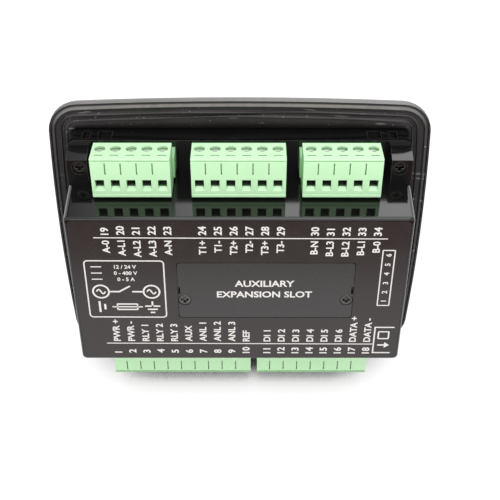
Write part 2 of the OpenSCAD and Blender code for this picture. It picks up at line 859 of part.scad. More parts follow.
// Reservoir capacitors near the other side wall
can_d = 10;
can_h = 16;
can_side = 7.2;
can_low = 3;
can_pitch = 13;
module capacitors() {
    x = -(tray_w / 2 - can_side - can_d / 2);
    color("#22262c") for (i = [0, 1]) translate([x, 0, can_low + i * can_pitch])
        along_y(board_rear, board_rear + can_h) circle(d = can_d);
}

chip_w = 14;
chip_t = 1.4;
chip_x = 12;
chip_z = -20;
module processor() {
    color("#232325") translate([chip_x, 0, chip_z])
        along_y(board_rear, board_rear + chip_t) square(chip_w, true);
}

// Encased ring cores with a passage through the middle
core_w = 15;
core_t = 8;
core_h = 16;
core_hole = 5;
core_pitch = 18;
core_z = 22;
module current_transformers() {
    color("#3a3f8a") for (i = [-1:1]) translate([i * core_pitch, 0, core_z]) difference() {
        along_y(board_rear, board_rear + core_h) square([core_w, core_t], true);
        translate([0, board_rear + core_h / 2, -core_t]) cylinder(d = core_hole, h = 2 * core_t);
    }
}

front_bezel();
front_overlay();
display_window();
display_glass();
display_backlight();
display_holder();
for (k = KEYS) key(k);
tact_switches();
light_pipes();
status_leds();
panel_gasket();
main_board();
rear_housing();
rear_label();
module_cover();
cover_screws();
module_socket();
housing_screws();
for (b = BLOCKS) header(b);
header_pins();
for (b = BLOCKS) plug(b);
for (b = BLOCKS) plug_screws(b);
for (b = BLOCKS) plug_clamps(b);
data_port_shell();
data_port_tongue();
relays();
capacitors();
processor();
current_transformers();
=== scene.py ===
import logging
import math
from dataclasses import dataclass, field
from enum import Enum
from typing import Iterator, Sequence

import bmesh
import bpy
from mathutils import Matrix, Vector


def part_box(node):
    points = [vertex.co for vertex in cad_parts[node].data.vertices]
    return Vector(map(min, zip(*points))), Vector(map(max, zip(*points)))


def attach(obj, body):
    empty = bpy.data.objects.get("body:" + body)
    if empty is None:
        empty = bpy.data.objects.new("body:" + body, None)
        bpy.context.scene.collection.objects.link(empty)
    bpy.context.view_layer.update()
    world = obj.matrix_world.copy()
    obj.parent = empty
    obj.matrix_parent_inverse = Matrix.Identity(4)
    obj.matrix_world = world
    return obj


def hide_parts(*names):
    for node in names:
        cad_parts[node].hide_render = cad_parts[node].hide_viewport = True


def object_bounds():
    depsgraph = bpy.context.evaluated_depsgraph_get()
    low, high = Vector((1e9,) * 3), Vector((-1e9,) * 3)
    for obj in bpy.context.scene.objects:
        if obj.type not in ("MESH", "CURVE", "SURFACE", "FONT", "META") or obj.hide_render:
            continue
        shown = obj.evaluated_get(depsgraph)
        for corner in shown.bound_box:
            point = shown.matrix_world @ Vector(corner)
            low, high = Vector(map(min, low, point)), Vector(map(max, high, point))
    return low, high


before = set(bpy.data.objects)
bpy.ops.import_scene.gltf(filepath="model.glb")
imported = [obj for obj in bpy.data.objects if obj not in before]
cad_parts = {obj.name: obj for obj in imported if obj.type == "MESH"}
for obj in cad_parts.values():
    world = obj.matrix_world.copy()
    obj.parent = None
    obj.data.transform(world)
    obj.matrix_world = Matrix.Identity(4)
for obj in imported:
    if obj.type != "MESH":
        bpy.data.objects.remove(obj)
CAD_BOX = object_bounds()

MM = 0.001
MAIN_BODY = "controller"
KEYS = ("left_key", "down_key", "right_key", "up_key", "run_key", "test_key", "auto_key", "stop_key")
LOG = logging.getLogger("genset_controller")

Point = tuple[float, float]
Colour = tuple[float, float, float, float]
Tree = bpy.types.NodeTree
Socket = bpy.types.NodeSocket

WHITE: Colour = (1.0, 1.0, 1.0, 1.0)
# Where nearly all values of a noise lie
NOISE_SPAN: Point = (0.3, 0.7)


def linear(code: str) -> Colour:
    """Turns an sRGB hex value into a linear colour.

    Args:
        code: Colour such as "#2b2624".

    Returns:
        Red, green, blue and a full alpha.
    """
    shares = [int(code[i:i + 2], 16) / 255 for i in (1, 3, 5)]
    red, green, blue = [s / 12.92 if s <= 0.04045 else ((s + 0.055) / 1.055) ** 2.4 for s in shares]
    return red, green, blue, 1.0


def per_metre(size_mm: float) -> float:
    """Texture scale that gives features of size_mm, in a frame of metres."""
    return 1 / (size_mm * MM)


def add(tree: Tree, kind: str, inputs: dict | None = None, **settings: object) -> bpy.types.Node:
    """Adds one shader node with its settings and links.

    Args:
        tree: Node tree that gets the node.
        kind: Type of the node, without its ShaderNode prefix.
        inputs: Input socket, by name or number, to a value or to the socket that feeds it.
        settings: The node's own properties.

    Returns:
        The new node.
    """
    node = tree.nodes.new("ShaderNode" + kind)
    for key, value in settings.items():
        setattr(node, key, value)
    for key, value in (inputs or {}).items():
        if isinstance(value, Socket):
            tree.links.new(value, node.inputs[key])
        else:
            node.inputs[key].default_value = value
    return node


class Join(Enum):
    """Ways to join two values into one, with the names that the node has for them."""

    PRODUCT = "MULTIPLY"
    HIGHER = "MAXIMUM"
    LOWER = "MINIMUM"

    def of(self, tree: Tree, first: Socket, second: Socket | float) -> Socket:
        """Joins two values."""
        return add(tree, "Math", {0: first, 1: second}, operation=self.value).outputs["Value"]


def noise(tree: Tree, place: Socket, size_mm: float, detail: float) -> Socket:
    """Gives a noise with features of size_mm."""
    return add(tree, "TexNoise", {
        "Vector": place, "Scale": per_metre(size_mm), "Detail": detail,
    }).outputs["Fac"]


def ramp(tree: Tree, value: Socket, span: Point, to: Point = (0.0, 1.0)) -> Socket:
    """Lays a value's span over another one and stays within it."""
    return add(tree, "MapRange", {
        "Value": value, "From Min": span[0], "From Max": span[1], "To Min": to[0], "To Max": to[1],
    }).outputs["Result"]


def blend(tree: Tree, share: Socket, first: Colour | Socket, second: Colour | Socket) -> Socket:
    """Mixes two colours, from the first at a share of 0 to the second at 1."""
    return add(tree, "Mix", {0: share, 6: first, 7: second}, data_type="RGBA").outputs[2]


def relief(tree: Tree, height: Socket, depth_mm: float) -> Socket:
    """Turns a pattern into bumps of the given depth."""
    return add(tree, "Bump", {"Height": height, "Distance": depth_mm * MM, "Strength": 1.0}).outputs["Normal"]


def openness(tree: Tree, reach_mm: float, samples: int = 8, own: bool = True) -> Socket:
    """Gives the share of open space round a spot, shut off only by its own piece or by any."""
    reach = {"Distance": reach_mm * MM}
    return add(tree, "AmbientOcclusion", reach, samples=samples, only_local=own).outputs["AO"]


def seen(tree: Tree) -> Socket:
    """Gives 1 for rays that the camera sees, straight or in gloss or glass, and 0 for light.

    Args:
        tree: Node tree of the floor or the world.

    Returns:
        The share.
    """
    path = add(tree, "LightPath").outputs
    straight = Join.HIGHER.of(tree, path["Is Camera Ray"], path["Is Glossy Ray"])
    return Join.HIGHER.of(tree, straight, path["Is Transmission Ray"])


@dataclass(frozen=True)
class Finish:
    """A material, named for what it is and how its surface was made."""

    name: str

    def surface(self, tree: Tree) -> Socket:
        """Builds the shader.

        Args:
            tree: Empty node tree of the new material.

        Returns:
            The shader's output socket.
        """
        raise NotImplementedError

    def material(self) -> bpy.types.Material:
        """Makes the material at the first call and gives the same one later.

        Returns:
            The finish's material.
        """
        found = bpy.data.materials.get(self.name)
        if found:
            return found
        made = bpy.data.materials.new(self.name)
        made.use_nodes = True
        made.node_tree.nodes.clear()
        add(made.node_tree, "OutputMaterial", {"Surface": self.surface(made.node_tree)})
        return made


@dataclass(frozen=True)
class Moulded(Finish):
    """Injection-moulded plastic: mottling, mould grain, painted shade, painted edge highlights, and dust with
    painted light.
    """

    colour: str
    mottle: str
    roughness: float
    rough_spread: float = 0.05
    mottle_mm: float = 9.0
    grain_mm: float = 0.3
    grain_depth_mm: float = 0.004
    ior: float = 1.53
    gloss: float = 0.5
    # Painted shade in slots and holes, a painted highlight along the edges, and a pale film on what faces up
    # that is partly dust, partly painted light
    shade: str = "#000000"
    shade_mm: float = 0.0
    shade_span: Point = (0.12, 0.48)
    edge_highlight: str = "#808080"
    edge_highlight_mm: float = 0.0
    edge_highlight_bend: Point = (0.985, 0.86)
    edge_highlight_open: Point = (0.8, 0.95)
    dust_and_light: str = "#808080"
    dust_and_light_share: float = 0.0
    dust_and_light_facing: Point = (0.75, 0.98)
    dust_and_light_patches: Point = (0.8, 1.1)

    def surface(self, tree: Tree) -> Socket:
        """Builds the shader from one slow noise and one fine one.

        Args:
            tree: Empty node tree of the new material.

        Returns:
            The shader's output socket.
        """
        place = add(tree, "TexCoord").outputs["Object"]
        flow = noise(tree, place, self.mottle_mm, detail=4.0)
        grain = noise(tree, place, self.grain_mm, detail=2.0)
        tone = blend(tree, flow, linear(self.colour), linear(self.mottle))
        if self.shade_mm:
            tone = self.shaded(tree, tone)
        if self.edge_highlight_mm:
            tone = self.painted_edge_highlight(tree, tone)
        if self.dust_and_light_share:
            tone = self.dust_and_top_light(tree, tone, flow)
        spread = (self.roughness - self.rough_spread, self.roughness + self.rough_spread)
        return add(tree, "BsdfPrincipled", {
            "Base Color": tone, "Roughness": ramp(tree, flow, NOISE_SPAN, spread), "IOR": self.ior,
            "Specular IOR Level": self.gloss, "Normal": relief(tree, grain, self.grain_depth_mm),
        }).outputs["BSDF"]

    def shaded(self, tree: Tree, tone: Socket) -> Socket:
        """Paints shade inside slots and holes: the colour deepens where the piece's own surfaces close in."""
        bright = ramp(tree, openness(tree, self.shade_mm), self.shade_span)
        return blend(tree, bright, linear(self.shade), tone)

    def painted_edge_highlight(self, tree: Tree, tone: Socket) -> Socket:
        """Paints a highlight along the edges, as a paler colour there.

        Args:
            tree: The material's node tree.
            tone: Colour so far.

        Returns:
            The colour with pale edges.
        """
        rounded_off = add(tree, "Bevel", {"Radius": self.edge_highlight_mm * MM}, samples=6)
        bend = add(tree, "VectorMath", {
            0: rounded_off.outputs["Normal"], 1: add(tree, "NewGeometry").outputs["Normal"],
        }, operation="DOT_PRODUCT")
        edge = ramp(tree, bend.outputs["Value"], self.edge_highlight_bend)
        proud = ramp(tree, openness(tree, 2 * self.edge_highlight_mm, 6), self.edge_highlight_open)
        return blend(tree, Join.PRODUCT.of(tree, edge, proud), tone, linear(self.edge_highlight))

    def dust_and_top_light(self, tree: Tree, tone: Socket, patches: Socket) -> Socket:
        """Lays an uneven pale film on what faces up: partly dust, partly painted light where the top light
        falls.

        Args:
            tree: The material's node tree.
            tone: Colour so far.
            patches: Noise that the film follows.

        Returns:
            The colour with its film.
        """
        facing = add(tree, "SeparateXYZ", {0: add(tree, "TexCoord").outputs["Normal"]})
        upward = ramp(tree, facing.outputs["Z"], self.dust_and_light_facing, (0.0, self.dust_and_light_share))
        uneven = ramp(tree, patches, NOISE_SPAN, self.dust_and_light_patches)
        return blend(tree, Join.PRODUCT.of(tree, upward, uneven), tone, linear(self.dust_and_light))


@dataclass(frozen=True)
class DustyRubber(Finish):
    """Moulded rubber: dull, with flecks and short drag marks, a pale film where its ribs face up that is
    partly dust, partly painted light, and painted shade in its grooves.
    """

    colour: str
    bloom: str
    # Colour of the pale film, which is partly dust, partly painted light
    dust_and_light: str
    roughness: float
    rough_spread: Point = (-0.06, 0.1)
    gloss: float = 0.3
    ior: float = 1.52
    bloom_mm: float = 16.0
    patch_mm: float = 5.0
    patch_cover: Point = (0.75, 1.1)
    fleck_mm: float = 0.9
    fleck_span: Point = (0.7, 0.76)
    fleck_most: float = 0.7
    fleck_depth_mm: float = 0.02
    drag_mm: float = 1.4
    drag_deg: float = 40.0
    drag_stretch: float = 0.16
    drag_span: Point = (0.77, 0.82)
    drag_most: float = 0.5
    # Painted shade in the grooves, where the rubber's own surfaces close in
    groove_shade: str = "#070606"
    groove_shade_mm: float = 1.4
    groove_shade_span: Point = (0.5, 0.95)
    dust_and_light_layer: str = "dust_and_light"

    def surface(self, tree: Tree) -> Socket:
        """Builds the shader: bloom under a patchy pale film of dust and painted light, flecks and drag marks,
        with painted shade in the grooves.

        Args:
            tree: Empty node tree of the new material.

        Returns:
            The shader's output socket.
        """
        place = add(tree, "TexCoord").outputs["Object"]
        along = add(tree, "Mapping", {
            "Vector": place, "Rotation": (0.0, math.radians(self.drag_deg), 0.0),
            "Scale": (self.drag_stretch, 1.0, 1.0),
        }).outputs["Vector"]
        bloom = noise(tree, place, self.bloom_mm, detail=5.0)
        patch = noise(tree, place, self.patch_mm, detail=6.0)
        fleck = noise(tree, place, self.fleck_mm, detail=1.0)
        drag = noise(tree, along, self.drag_mm, detail=0.0)
        laid = add(tree, "Attribute", attribute_name=self.dust_and_light_layer).outputs["Fac"]
        film = Join.PRODUCT.of(tree, laid, ramp(tree, patch, NOISE_SPAN, self.patch_cover))
        flecks = ramp(tree, fleck, self.fleck_span, (0.0, self.fleck_most))
        drags = ramp(tree, drag, self.drag_span, (0.0, self.drag_most))
        marks = Join.HIGHER.of(tree, Join.HIGHER.of(tree, flecks, drags), film)
        rubber = blend(tree, bloom, linear(self.colour), linear(self.bloom))
        dusty_and_lit = blend(tree, marks, rubber, linear(self.dust_and_light))
        lit = ramp(tree, openness(tree, self.groove_shade_mm), self.groove_shade_span)
        spread = (self.roughness + self.rough_spread[0], self.roughness + self.rough_spread[1])
        return add(tree, "BsdfPrincipled", {
            "Base Color": blend(tree, lit, linear(self.groove_shade), dusty_and_lit), "IOR": self.ior,
            "Roughness": ramp(tree, bloom, NOISE_SPAN, spread), "Specular IOR Level": self.gloss,
            "Normal": relief(tree, fleck, self.fleck_depth_mm),
        }).outputs["BSDF"]


@dataclass(frozen=True)
class Plated(Finish):
    """Metal with a thin plating: drawn or turned lines, duller patches where hands were, and painted shade in
    its recesses.
    """

    colour: str
    dull: str
    roughness: float
    rough_spread: Point = (-0.06, 0.08)
    line_mm: float = 0.12
    line_depth_mm: float = 0.003
    line_stretch: float = 0.1
    patch_mm: float = 2.5
    # Painted shade in slots and recesses
    recess_shade: str = "#000000"
    recess_shade_mm: float = 0.0
    recess_shade_span: Point = (0.5, 0.9)

    def surface(self, tree: Tree) -> Socket:
        """Builds the shader from tool lines and handling patches.

        Args:
            tree: Empty node tree of the new material.

        Returns:
            The shader's output socket.
        """
        place = add(tree, "TexCoord").outputs["Object"]
        drawn = add(tree, "Mapping", {"Vector": place, "Scale": (self.line_stretch, 1.0, 1.0)})
        lines = noise(tree, drawn.outputs["Vector"], self.line_mm, detail=2.0)
        patch = noise(tree, place, self.patch_mm, detail=4.0)
        tone = blend(tree, patch, linear(self.colour), linear(self.dull))
        if self.recess_shade_mm:
            tone = self.filled(tree, tone)
        spread = (self.roughness + self.rough_spread[0], self.roughness + self.rough_spread[1])
        return add(tree, "BsdfPrincipled", {
            "Base Color": tone, "Metallic": 1.0, "Roughness": ramp(tree, lines, NOISE_SPAN, spread),
            "Normal": relief(tree, lines, self.line_depth_mm),
        }).outputs["BSDF"]

    def filled(self, tree: Tree, tone: Socket) -> Socket:
        """Paints shade in slots and recesses, darkening the colour where the piece's own surfaces close in.
        """
        unshaded = ramp(tree, openness(tree, self.recess_shade_mm), self.recess_shade_span)
        return blend(tree, unshaded, linear(self.recess_shade), tone)


@dataclass(frozen=True)
class Clear(Finish):
    """Clear plastic or glass with a faint haze of wipe marks."""

    colour: str
    roughness: float
    ior: float
    wipe_mm: float = 6.0
    wipe_span: Point = (0.4, 0.8)
    wipe_haze: float = 0.08

    def surface(self, tree: Tree) -> Socket:
        """Builds the shader with wipe marks in its roughness.

        Args:
            tree: Empty node tree of the new material.

        Returns:
            The shader's output socket.
        """
        wipe = noise(tree, add(tree, "TexCoord").outputs["Object"], self.wipe_mm, detail=6.0)
        rough = ramp(tree, wipe, self.wipe_span, (self.roughness, self.roughness + self.wipe_haze))
        return add(tree, "BsdfPrincipled", {
            "Base Color": linear(self.colour), "Transmission Weight": 1.0, "IOR": self.ior,
            "Roughness": rough,
        }).outputs["BSDF"]


@dataclass(frozen=True)
class DotCell(Finish):
    """Liquid crystal cell: a grey-green field under glass, with its dot grid just showing."""

    colour: str
    gap: str
    dot_mm: float = 0.45
    gap_share: float = 0.12
    haze_mm: float = 20.0
    haze: Point = (0.12, 0.22)
    ior: float = 1.52

    def surface(self, tree: Tree) -> Socket:
        """Builds the shader from a grid of dots across X and Z.

        Args:
            tree: Empty node tree of the new material.

        Returns:
            The shader's output socket.
        """
        place = add(tree, "TexCoord").outputs["Object"]
        turned = add(tree, "Mapping", {"Vector": place, "Rotation": (math.radians(90), 0.0, 0.0)})
        grid = add(tree, "TexBrick", {
            "Vector": turned.outputs["Vector"], "Color1": linear(self.colour), "Color2": linear(self.colour),
            "Mortar": linear(self.gap), "Scale": per_metre(self.dot_mm), "Mortar Size": self.gap_share / 2,
            "Brick Width": 1.0, "Row Height": 1.0,
        }, offset=0.0)
        rough = ramp(tree, noise(tree, place, self.haze_mm, detail=2.0), (0.0, 1.0), self.haze)
        return add(tree, "BsdfPrincipled", {
            "Base Color": grid.outputs["Color"], "Roughness": rough, "IOR": self.ior,
        }).outputs["BSDF"]


@dataclass(frozen=True)
class BoardMask(Finish):
    """Solder mask on glass-epoxy board: copper tracks show as lighter lines under the lacquer."""

    colour: str
    track: str
    track_mm: float = 3.2
    track_span: Point = (0.44, 0.48)
    track_depth_mm: float = 0.03
    roughness: float = 0.35
    ior: float = 1.5

    def surface(self, tree: Tree) -> Socket:
        """Builds the shader from square-cornered cells that stand for copper areas.

        Args:
            tree: Empty node tree of the new material.

        Returns:
            The shader's output socket.
        """
        place = add(tree, "TexCoord").outputs["Object"]
        cells = add(tree, "TexVoronoi", {
            "Vector": place, "Scale": per_metre(self.track_mm),
        }, distance="CHEBYCHEV")
        edge = ramp(tree, cells.outputs["Distance"], self.track_span)
        return add(tree, "BsdfPrincipled", {
            "Base Color": blend(tree, edge, linear(self.colour), linear(self.track)), "IOR": self.ior,
            "Roughness": self.roughness, "Normal": relief(tree, edge, self.track_depth_mm),
        }).outputs["BSDF"]


@dataclass(frozen=True)
class Paper(Finish):
    """Studio floor: white wherever it is seen, and shaded where the part stands close over it, where its
    colour also darkens as a painted shadow.
    """

    colour: str
    shade: str
    shade_mm: float = 20.0
    contact_span: Point = (0.29, 0.46)
    soft_span: Point = (0.3, 1.0)
    soft_to: Point = (0.45, 1.0)
    glow: float = 1.15

    def surface(self, tree: Tree) -> Socket:
        """Builds the shader: a white glow for the eye over matt paper for the light, with the paper's colour
        darkened near the part as a painted shadow.

        Args:
            tree: Empty node tree of the new material.

        Returns:
            The shader's output socket.
        """
        open_share = openness(tree, self.shade_mm, 16, own=False)
        contact = ramp(tree, open_share, self.contact_span)
        fade = Join.LOWER.of(tree, contact, ramp(tree, open_share, self.soft_span, self.soft_to))
        # The paper's colour darkens towards the shade colour close to the part: a painted shadow
        matt = add(tree, "BsdfDiffuse", {"Color": blend(tree, fade, linear(self.shade), linear(self.colour))})
        glow = add(tree, "Emission", {"Color": WHITE, "Strength": self.glow})
        share = Join.PRODUCT.of(tree, seen(tree), fade)
        return add(tree, "MixShader", {0: share, 1: matt.outputs[0], 2: glow.outputs[0]}).outputs[0]


@dataclass(frozen=True)
class Card(Finish):
    """Plain matt card."""

    colour: str
    roughness: float

    def surface(self, tree: Tree) -> Socket:
        """Builds the plain shader."""
        return add(tree, "BsdfPrincipled", {
            "Base Color": linear(self.colour), "Roughness": self.roughness,
        }).outputs["BSDF"]


# Bezel: ABS from a spark-eroded mould, a soft black that spreads highlights, pale on top with dust and
# painted light
BEZEL_ABS = Moulded("ABS black spark-eroded mould", "#211f20", "#282626", 0.4, grain_mm=0.35,
                    grain_depth_mm=0.01, dust_and_light="#b3b0ad", dust_and_light_share=0.38)
# Rear housing: ABS from a polished mould, a deep black that mirrors the plugs, with a painted highlight along
# its edges
HOUSING_ABS = Moulded("ABS black polished mould", "#0c0b0b", "#111010", 0.08, 0.02, grain_mm=1.6,
                      grain_depth_mm=0.001, gloss=0.44, edge_highlight="#3a3735", edge_highlight_mm=0.6)
# Rear label: polyester film printed brown-black, satin, so that it greys where it faces the pale floor
LABEL_FILM = Moulded("Polyester film brown-black satin print", "#282120", "#2d2625", 0.26, grain_mm=0.22,
                     grain_depth_mm=0.003)
# Module cover: a like film on a moulded plate, a shade greyer than the label
COVER_FILM = Moulded("Polyester film brown-black on cover plate", "#322f2f", "#373434", 0.28, grain_mm=0.22,
                     grain_depth_mm=0.003)
# Gasket: synthetic rubber, dull black with drag marks, a pale film on top that is partly dust, partly painted
# light, and painted shade in its grooves
GASKET_RUBBER = DustyRubber("EPDM rubber moulded", "#2a2728", "#3c3839", "#a8a39f", 0.45)
# Plugs: polyamide, pale mint, with painted shade that deepens it to near black in the wire entries
PLUG_POLYAMIDE = Moulded("Polyamide mint moulded", "#c2efbd", "#caf4c6", 0.42, grain_mm=0.25,
                         shade="#04100a", shade_mm=6.0)
# Headers: the same polyamide from another batch, a little deeper
HEADER_POLYAMIDE = Moulded("Polyamide green moulded", "#a6dba5", "#b0e2ae", 0.4)
# Clamp screws: steel with clear zinc, pale and soft, with a painted reflection of the green of their wells in
# their colour and painted shade in the slot
CLAMP_ZINC = Plated("Steel zinc plated turned", "#e2eadf", "#bccabc", 0.45, recess_shade="#24322a", recess_shade_mm=0.9)
# Clamps: pressed brass, tarnished to a dark olive in the entries
CLAMP_BRASS = Plated("Brass pressed", "#6e6238", "#564c2e", 0.5)
# Housing and cover screws: blackened steel with a trace of oil, with painted shade that blackens the cross
SCREW_BLACK = Plated("Steel blackened", "#7a7876", "#3a3938", 0.2, recess_shade="#030303", recess_shade_mm=0.9)
# Header pins: tin on brass, silvery with a soft shine
PIN_TIN = Plated("Brass tin plated", "#d2d0c8", "#b8b6ae", 0.28)
# Data port: nickel on pressed sheet steel, bright and slightly warm
PORT_NICKEL = Plated("Steel sheet nickel plated", "#c6c5c0", "#aaa9a5", 0.24)
# Data port tongue, display holder and light block: plain whites from the mould, from clean to opal
PORT_PBT = Moulded("PBT white moulded", "#e6e5df", "#dddcd5", 0.45)
HOLDER_PBT = Moulded("PBT off-white moulded", "#d8d6cd", "#d0cec5", 0.5)
LIGHT_PMMA = Moulded("PMMA opal cast", "#eceee6", "#e4e7de", 0.3)
# Switches, socket and processor: glass-filled black plastic, slightly chalky
PART_BLACK = Moulded("Polyamide black glass-filled", "#26262a", "#302f33", 0.5, grain_mm=0.15,
                     grain_depth_mm=0.008)
# Board: green lacquer with tracks under it
BOARD_FR4 = BoardMask("Glass-epoxy board green solder mask", "#1f5b33", "#2f7a48")
# Display window: hard-coated polycarbonate, clear with faint wipe marks
WINDOW_PC = Clear("Polycarbonate hard-coated", "#f3f7f5", 0.02, 1.58)
# Light pipes: diffusing acrylic, milky at their polished ends
PIPE_PMMA = Moulded("PMMA diffusing moulded", "#c9d3cc", "#bcc7c0", 0.2)
# Status lamps: epoxy lens over a pale phosphor
LAMP_EPOXY = Moulded("Epoxy lens pale yellow", "#efeccf", "#e6e2bf", 0.2)
# Display cell: grey-green and even, with a fine grid close up
CELL_GLASS = DotCell("Liquid crystal cell grey-green", "#a9b79c", "#98a68d")
# Relays: PBT cases, dull blue
RELAY_PBT = Moulded("PBT blue moulded", "#2f5a94", "#35639f", 0.42)
# Capacitors: shrunk PVC sleeve, glossy and dark
SLEEVE_PVC = Moulded("PVC shrunk sleeve", "#23272e", "#2b3037", 0.25)
# Current transformers: cast epoxy, dark blue
CORE_EPOXY = Moulded("Epoxy cast blue", "#2e3380", "#383e8f", 0.35, mottle_mm=4.0)
# Key caps: silicone rubber with a lacquered top, soft grey and one red
KEY_SILICONE = Moulded("Silicone rubber grey lacquered", "#7f8285", "#888b8e", 0.48, grain_mm=0.4,
                       grain_depth_mm=0.01)
STOP_SILICONE = Moulded("Silicone rubber red lacquered", "#a8332d", "#b23b34", 0.48, grain_mm=0.4,
                        grain_depth_mm=0.01)
# Front film: polyester with a matt hard coat over dark grey print
FRONT_FILM = Moulded("Polyester film dark grey matt", "#1e2023", "#232528", 0.46, grain_mm=0.2,
                     grain_depth_mm=0.006)
# Print: screen ink, dense with a slightly uneven cover
WHITE_INK = Moulded("Screen ink white", "#ece9e6", "#d9d5d2", 0.45, mottle_mm=0.8)
PALE_INK = Moulded("Screen ink pale grey", "#b9bcc0", "#acb0b4", 0.5, mottle_mm=0.8)
# Display segments: dark olive against the cell
SEGMENT_DARK = Moulded("Liquid crystal segment dark", "#252b22", "#2d3329", 0.3, mottle_mm=1.0)
# Studio: white paper under the part with a painted shadow close to it, and a brown card that shows only in
# reflections, a painted reflection of shade that warms what the label mirrors
FLOOR_PAPER = Paper("Paper white", "#f4f1f0", "#2a2624")
BROWN_CARD = Card("Card brown matt", "#7a6660", 0.9)


def dress(node: str, finish: Finish) -> bpy.types.Object:
    """Gives a CAD node its finish.

    Args:
        node: Name of the node.
        finish: Material that its surface gets.

    Returns:
        The node's object.
    """
    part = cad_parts[node]
    part.data.materials.clear()
    part.data.materials.append(finish.material())
    LOG.info("%s: %s", node, finish.name)
    return part


def soften(part: bpy.types.Object, radius_mm: float, segments: int = 2, sharp_deg: float = 32.0) -> None:
    """Rounds a node's edges as its mould or tool leaves them, on top of the mesh as packed.

    Args:
        part: Object of a CAD node.
        radius_mm: Radius of the rounding.
        segments: Steps across the rounding.
        sharp_deg: Angle from which an edge counts as sharp.
    """
    seam_gap = 0.001 * MM
    flat_deg = 0.4
    seams = part.modifiers.new("closed_seams", "WELD")
    seams.merge_threshold = seam_gap
    flats = part.modifiers.new("whole_flats", "DECIMATE")
    flats.decimate_type = "DISSOLVE"
    flats.angle_limit = math.radians(flat_deg)
    edges = part.modifiers.new("soft_edges", "BEVEL")
    edges.width = radius_mm * MM
    edges.segments = segments
    edges.limit_method = "ANGLE"
    edges.angle_limit = math.radians(sharp_deg)
    edges.use_clamp_overlap = True
    normals = part.modifiers.new("even_normals", "WEIGHTED_NORMAL")
    normals.keep_sharp = False


def piece(name: str, mesh: bmesh.types.BMesh, finish: Finish,
          body: str = MAIN_BODY) -> bpy.types.Object:
    """Turns a mesh into a piece that rides a body.

    Args:
        name: Name of the piece.
        mesh: Its mesh in the part's frame, which is freed.
        finish: Its material.
        body: The body that it moves with.

    Returns:
        The new object.
    """
    data = bpy.data.meshes.new(name)
    mesh.to_mesh(data)
    mesh.free()
    data.materials.append(finish.material())
    made = bpy.data.objects.new(name, data)
    bpy.context.scene.collection.objects.link(made)
    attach(made, body)
    LOG.info("%s: %d faces, %s, rides %s", name, len(data.polygons), finish.name, body)
    return made


def rounded(low: Point, high: Point, radius: float, steps: int = 5, side_steps: int = 1) -> list[Point]:
    """Outline of a rectangle with round corners.

    Args:
        low: Lower left corner.
        high: Upper right corner.
        radius: Radius of the corners.
        steps: Steps round each corner.
        side_steps: Steps along each straight side.

    Returns:
        Its points, turning left from the right-hand side.
    """
    centres = [(high[0] - radius, high[1] - radius), (low[0] + radius, high[1] - radius),
               (low[0] + radius, low[1] + radius), (high[0] - radius, low[1] + radius)]
    corners = []
    for quarter, centre in enumerate(centres):
        angles = [math.radians(90 * (quarter + i / steps)) for i in range(steps + 1)]
        corners.append([around(centre, radius, a) for a in angles])
    points = []
    for quarter, corner in enumerate(corners):
        start, end = Vector(corner[-1]), Vector(corners[(quarter + 1) % 4][0])
        points += corner
        points += [tuple(start.lerp(end, i / side_steps)) for i in range(1, side_steps)]
    return points


def around(centre: Point, radius: float, turn: float) -> Point:
    """Point of a circle at a turn to the left from its right-hand side, in radians."""
    return centre[0] + radius * math.cos(turn), centre[1] + radius * math.sin(turn)


class Face(Enum):
    """The two printed faces of the part, with the sign of their outward direction along Y."""

    REAR = 1
    FRONT = -1

    def at(self, across: float, up: float, plane: float) -> Vector:
        """Place of a point that a reader of the face sees across to the right and up, in mm."""
        return Vector((-self.value * across * MM, plane, up * MM))


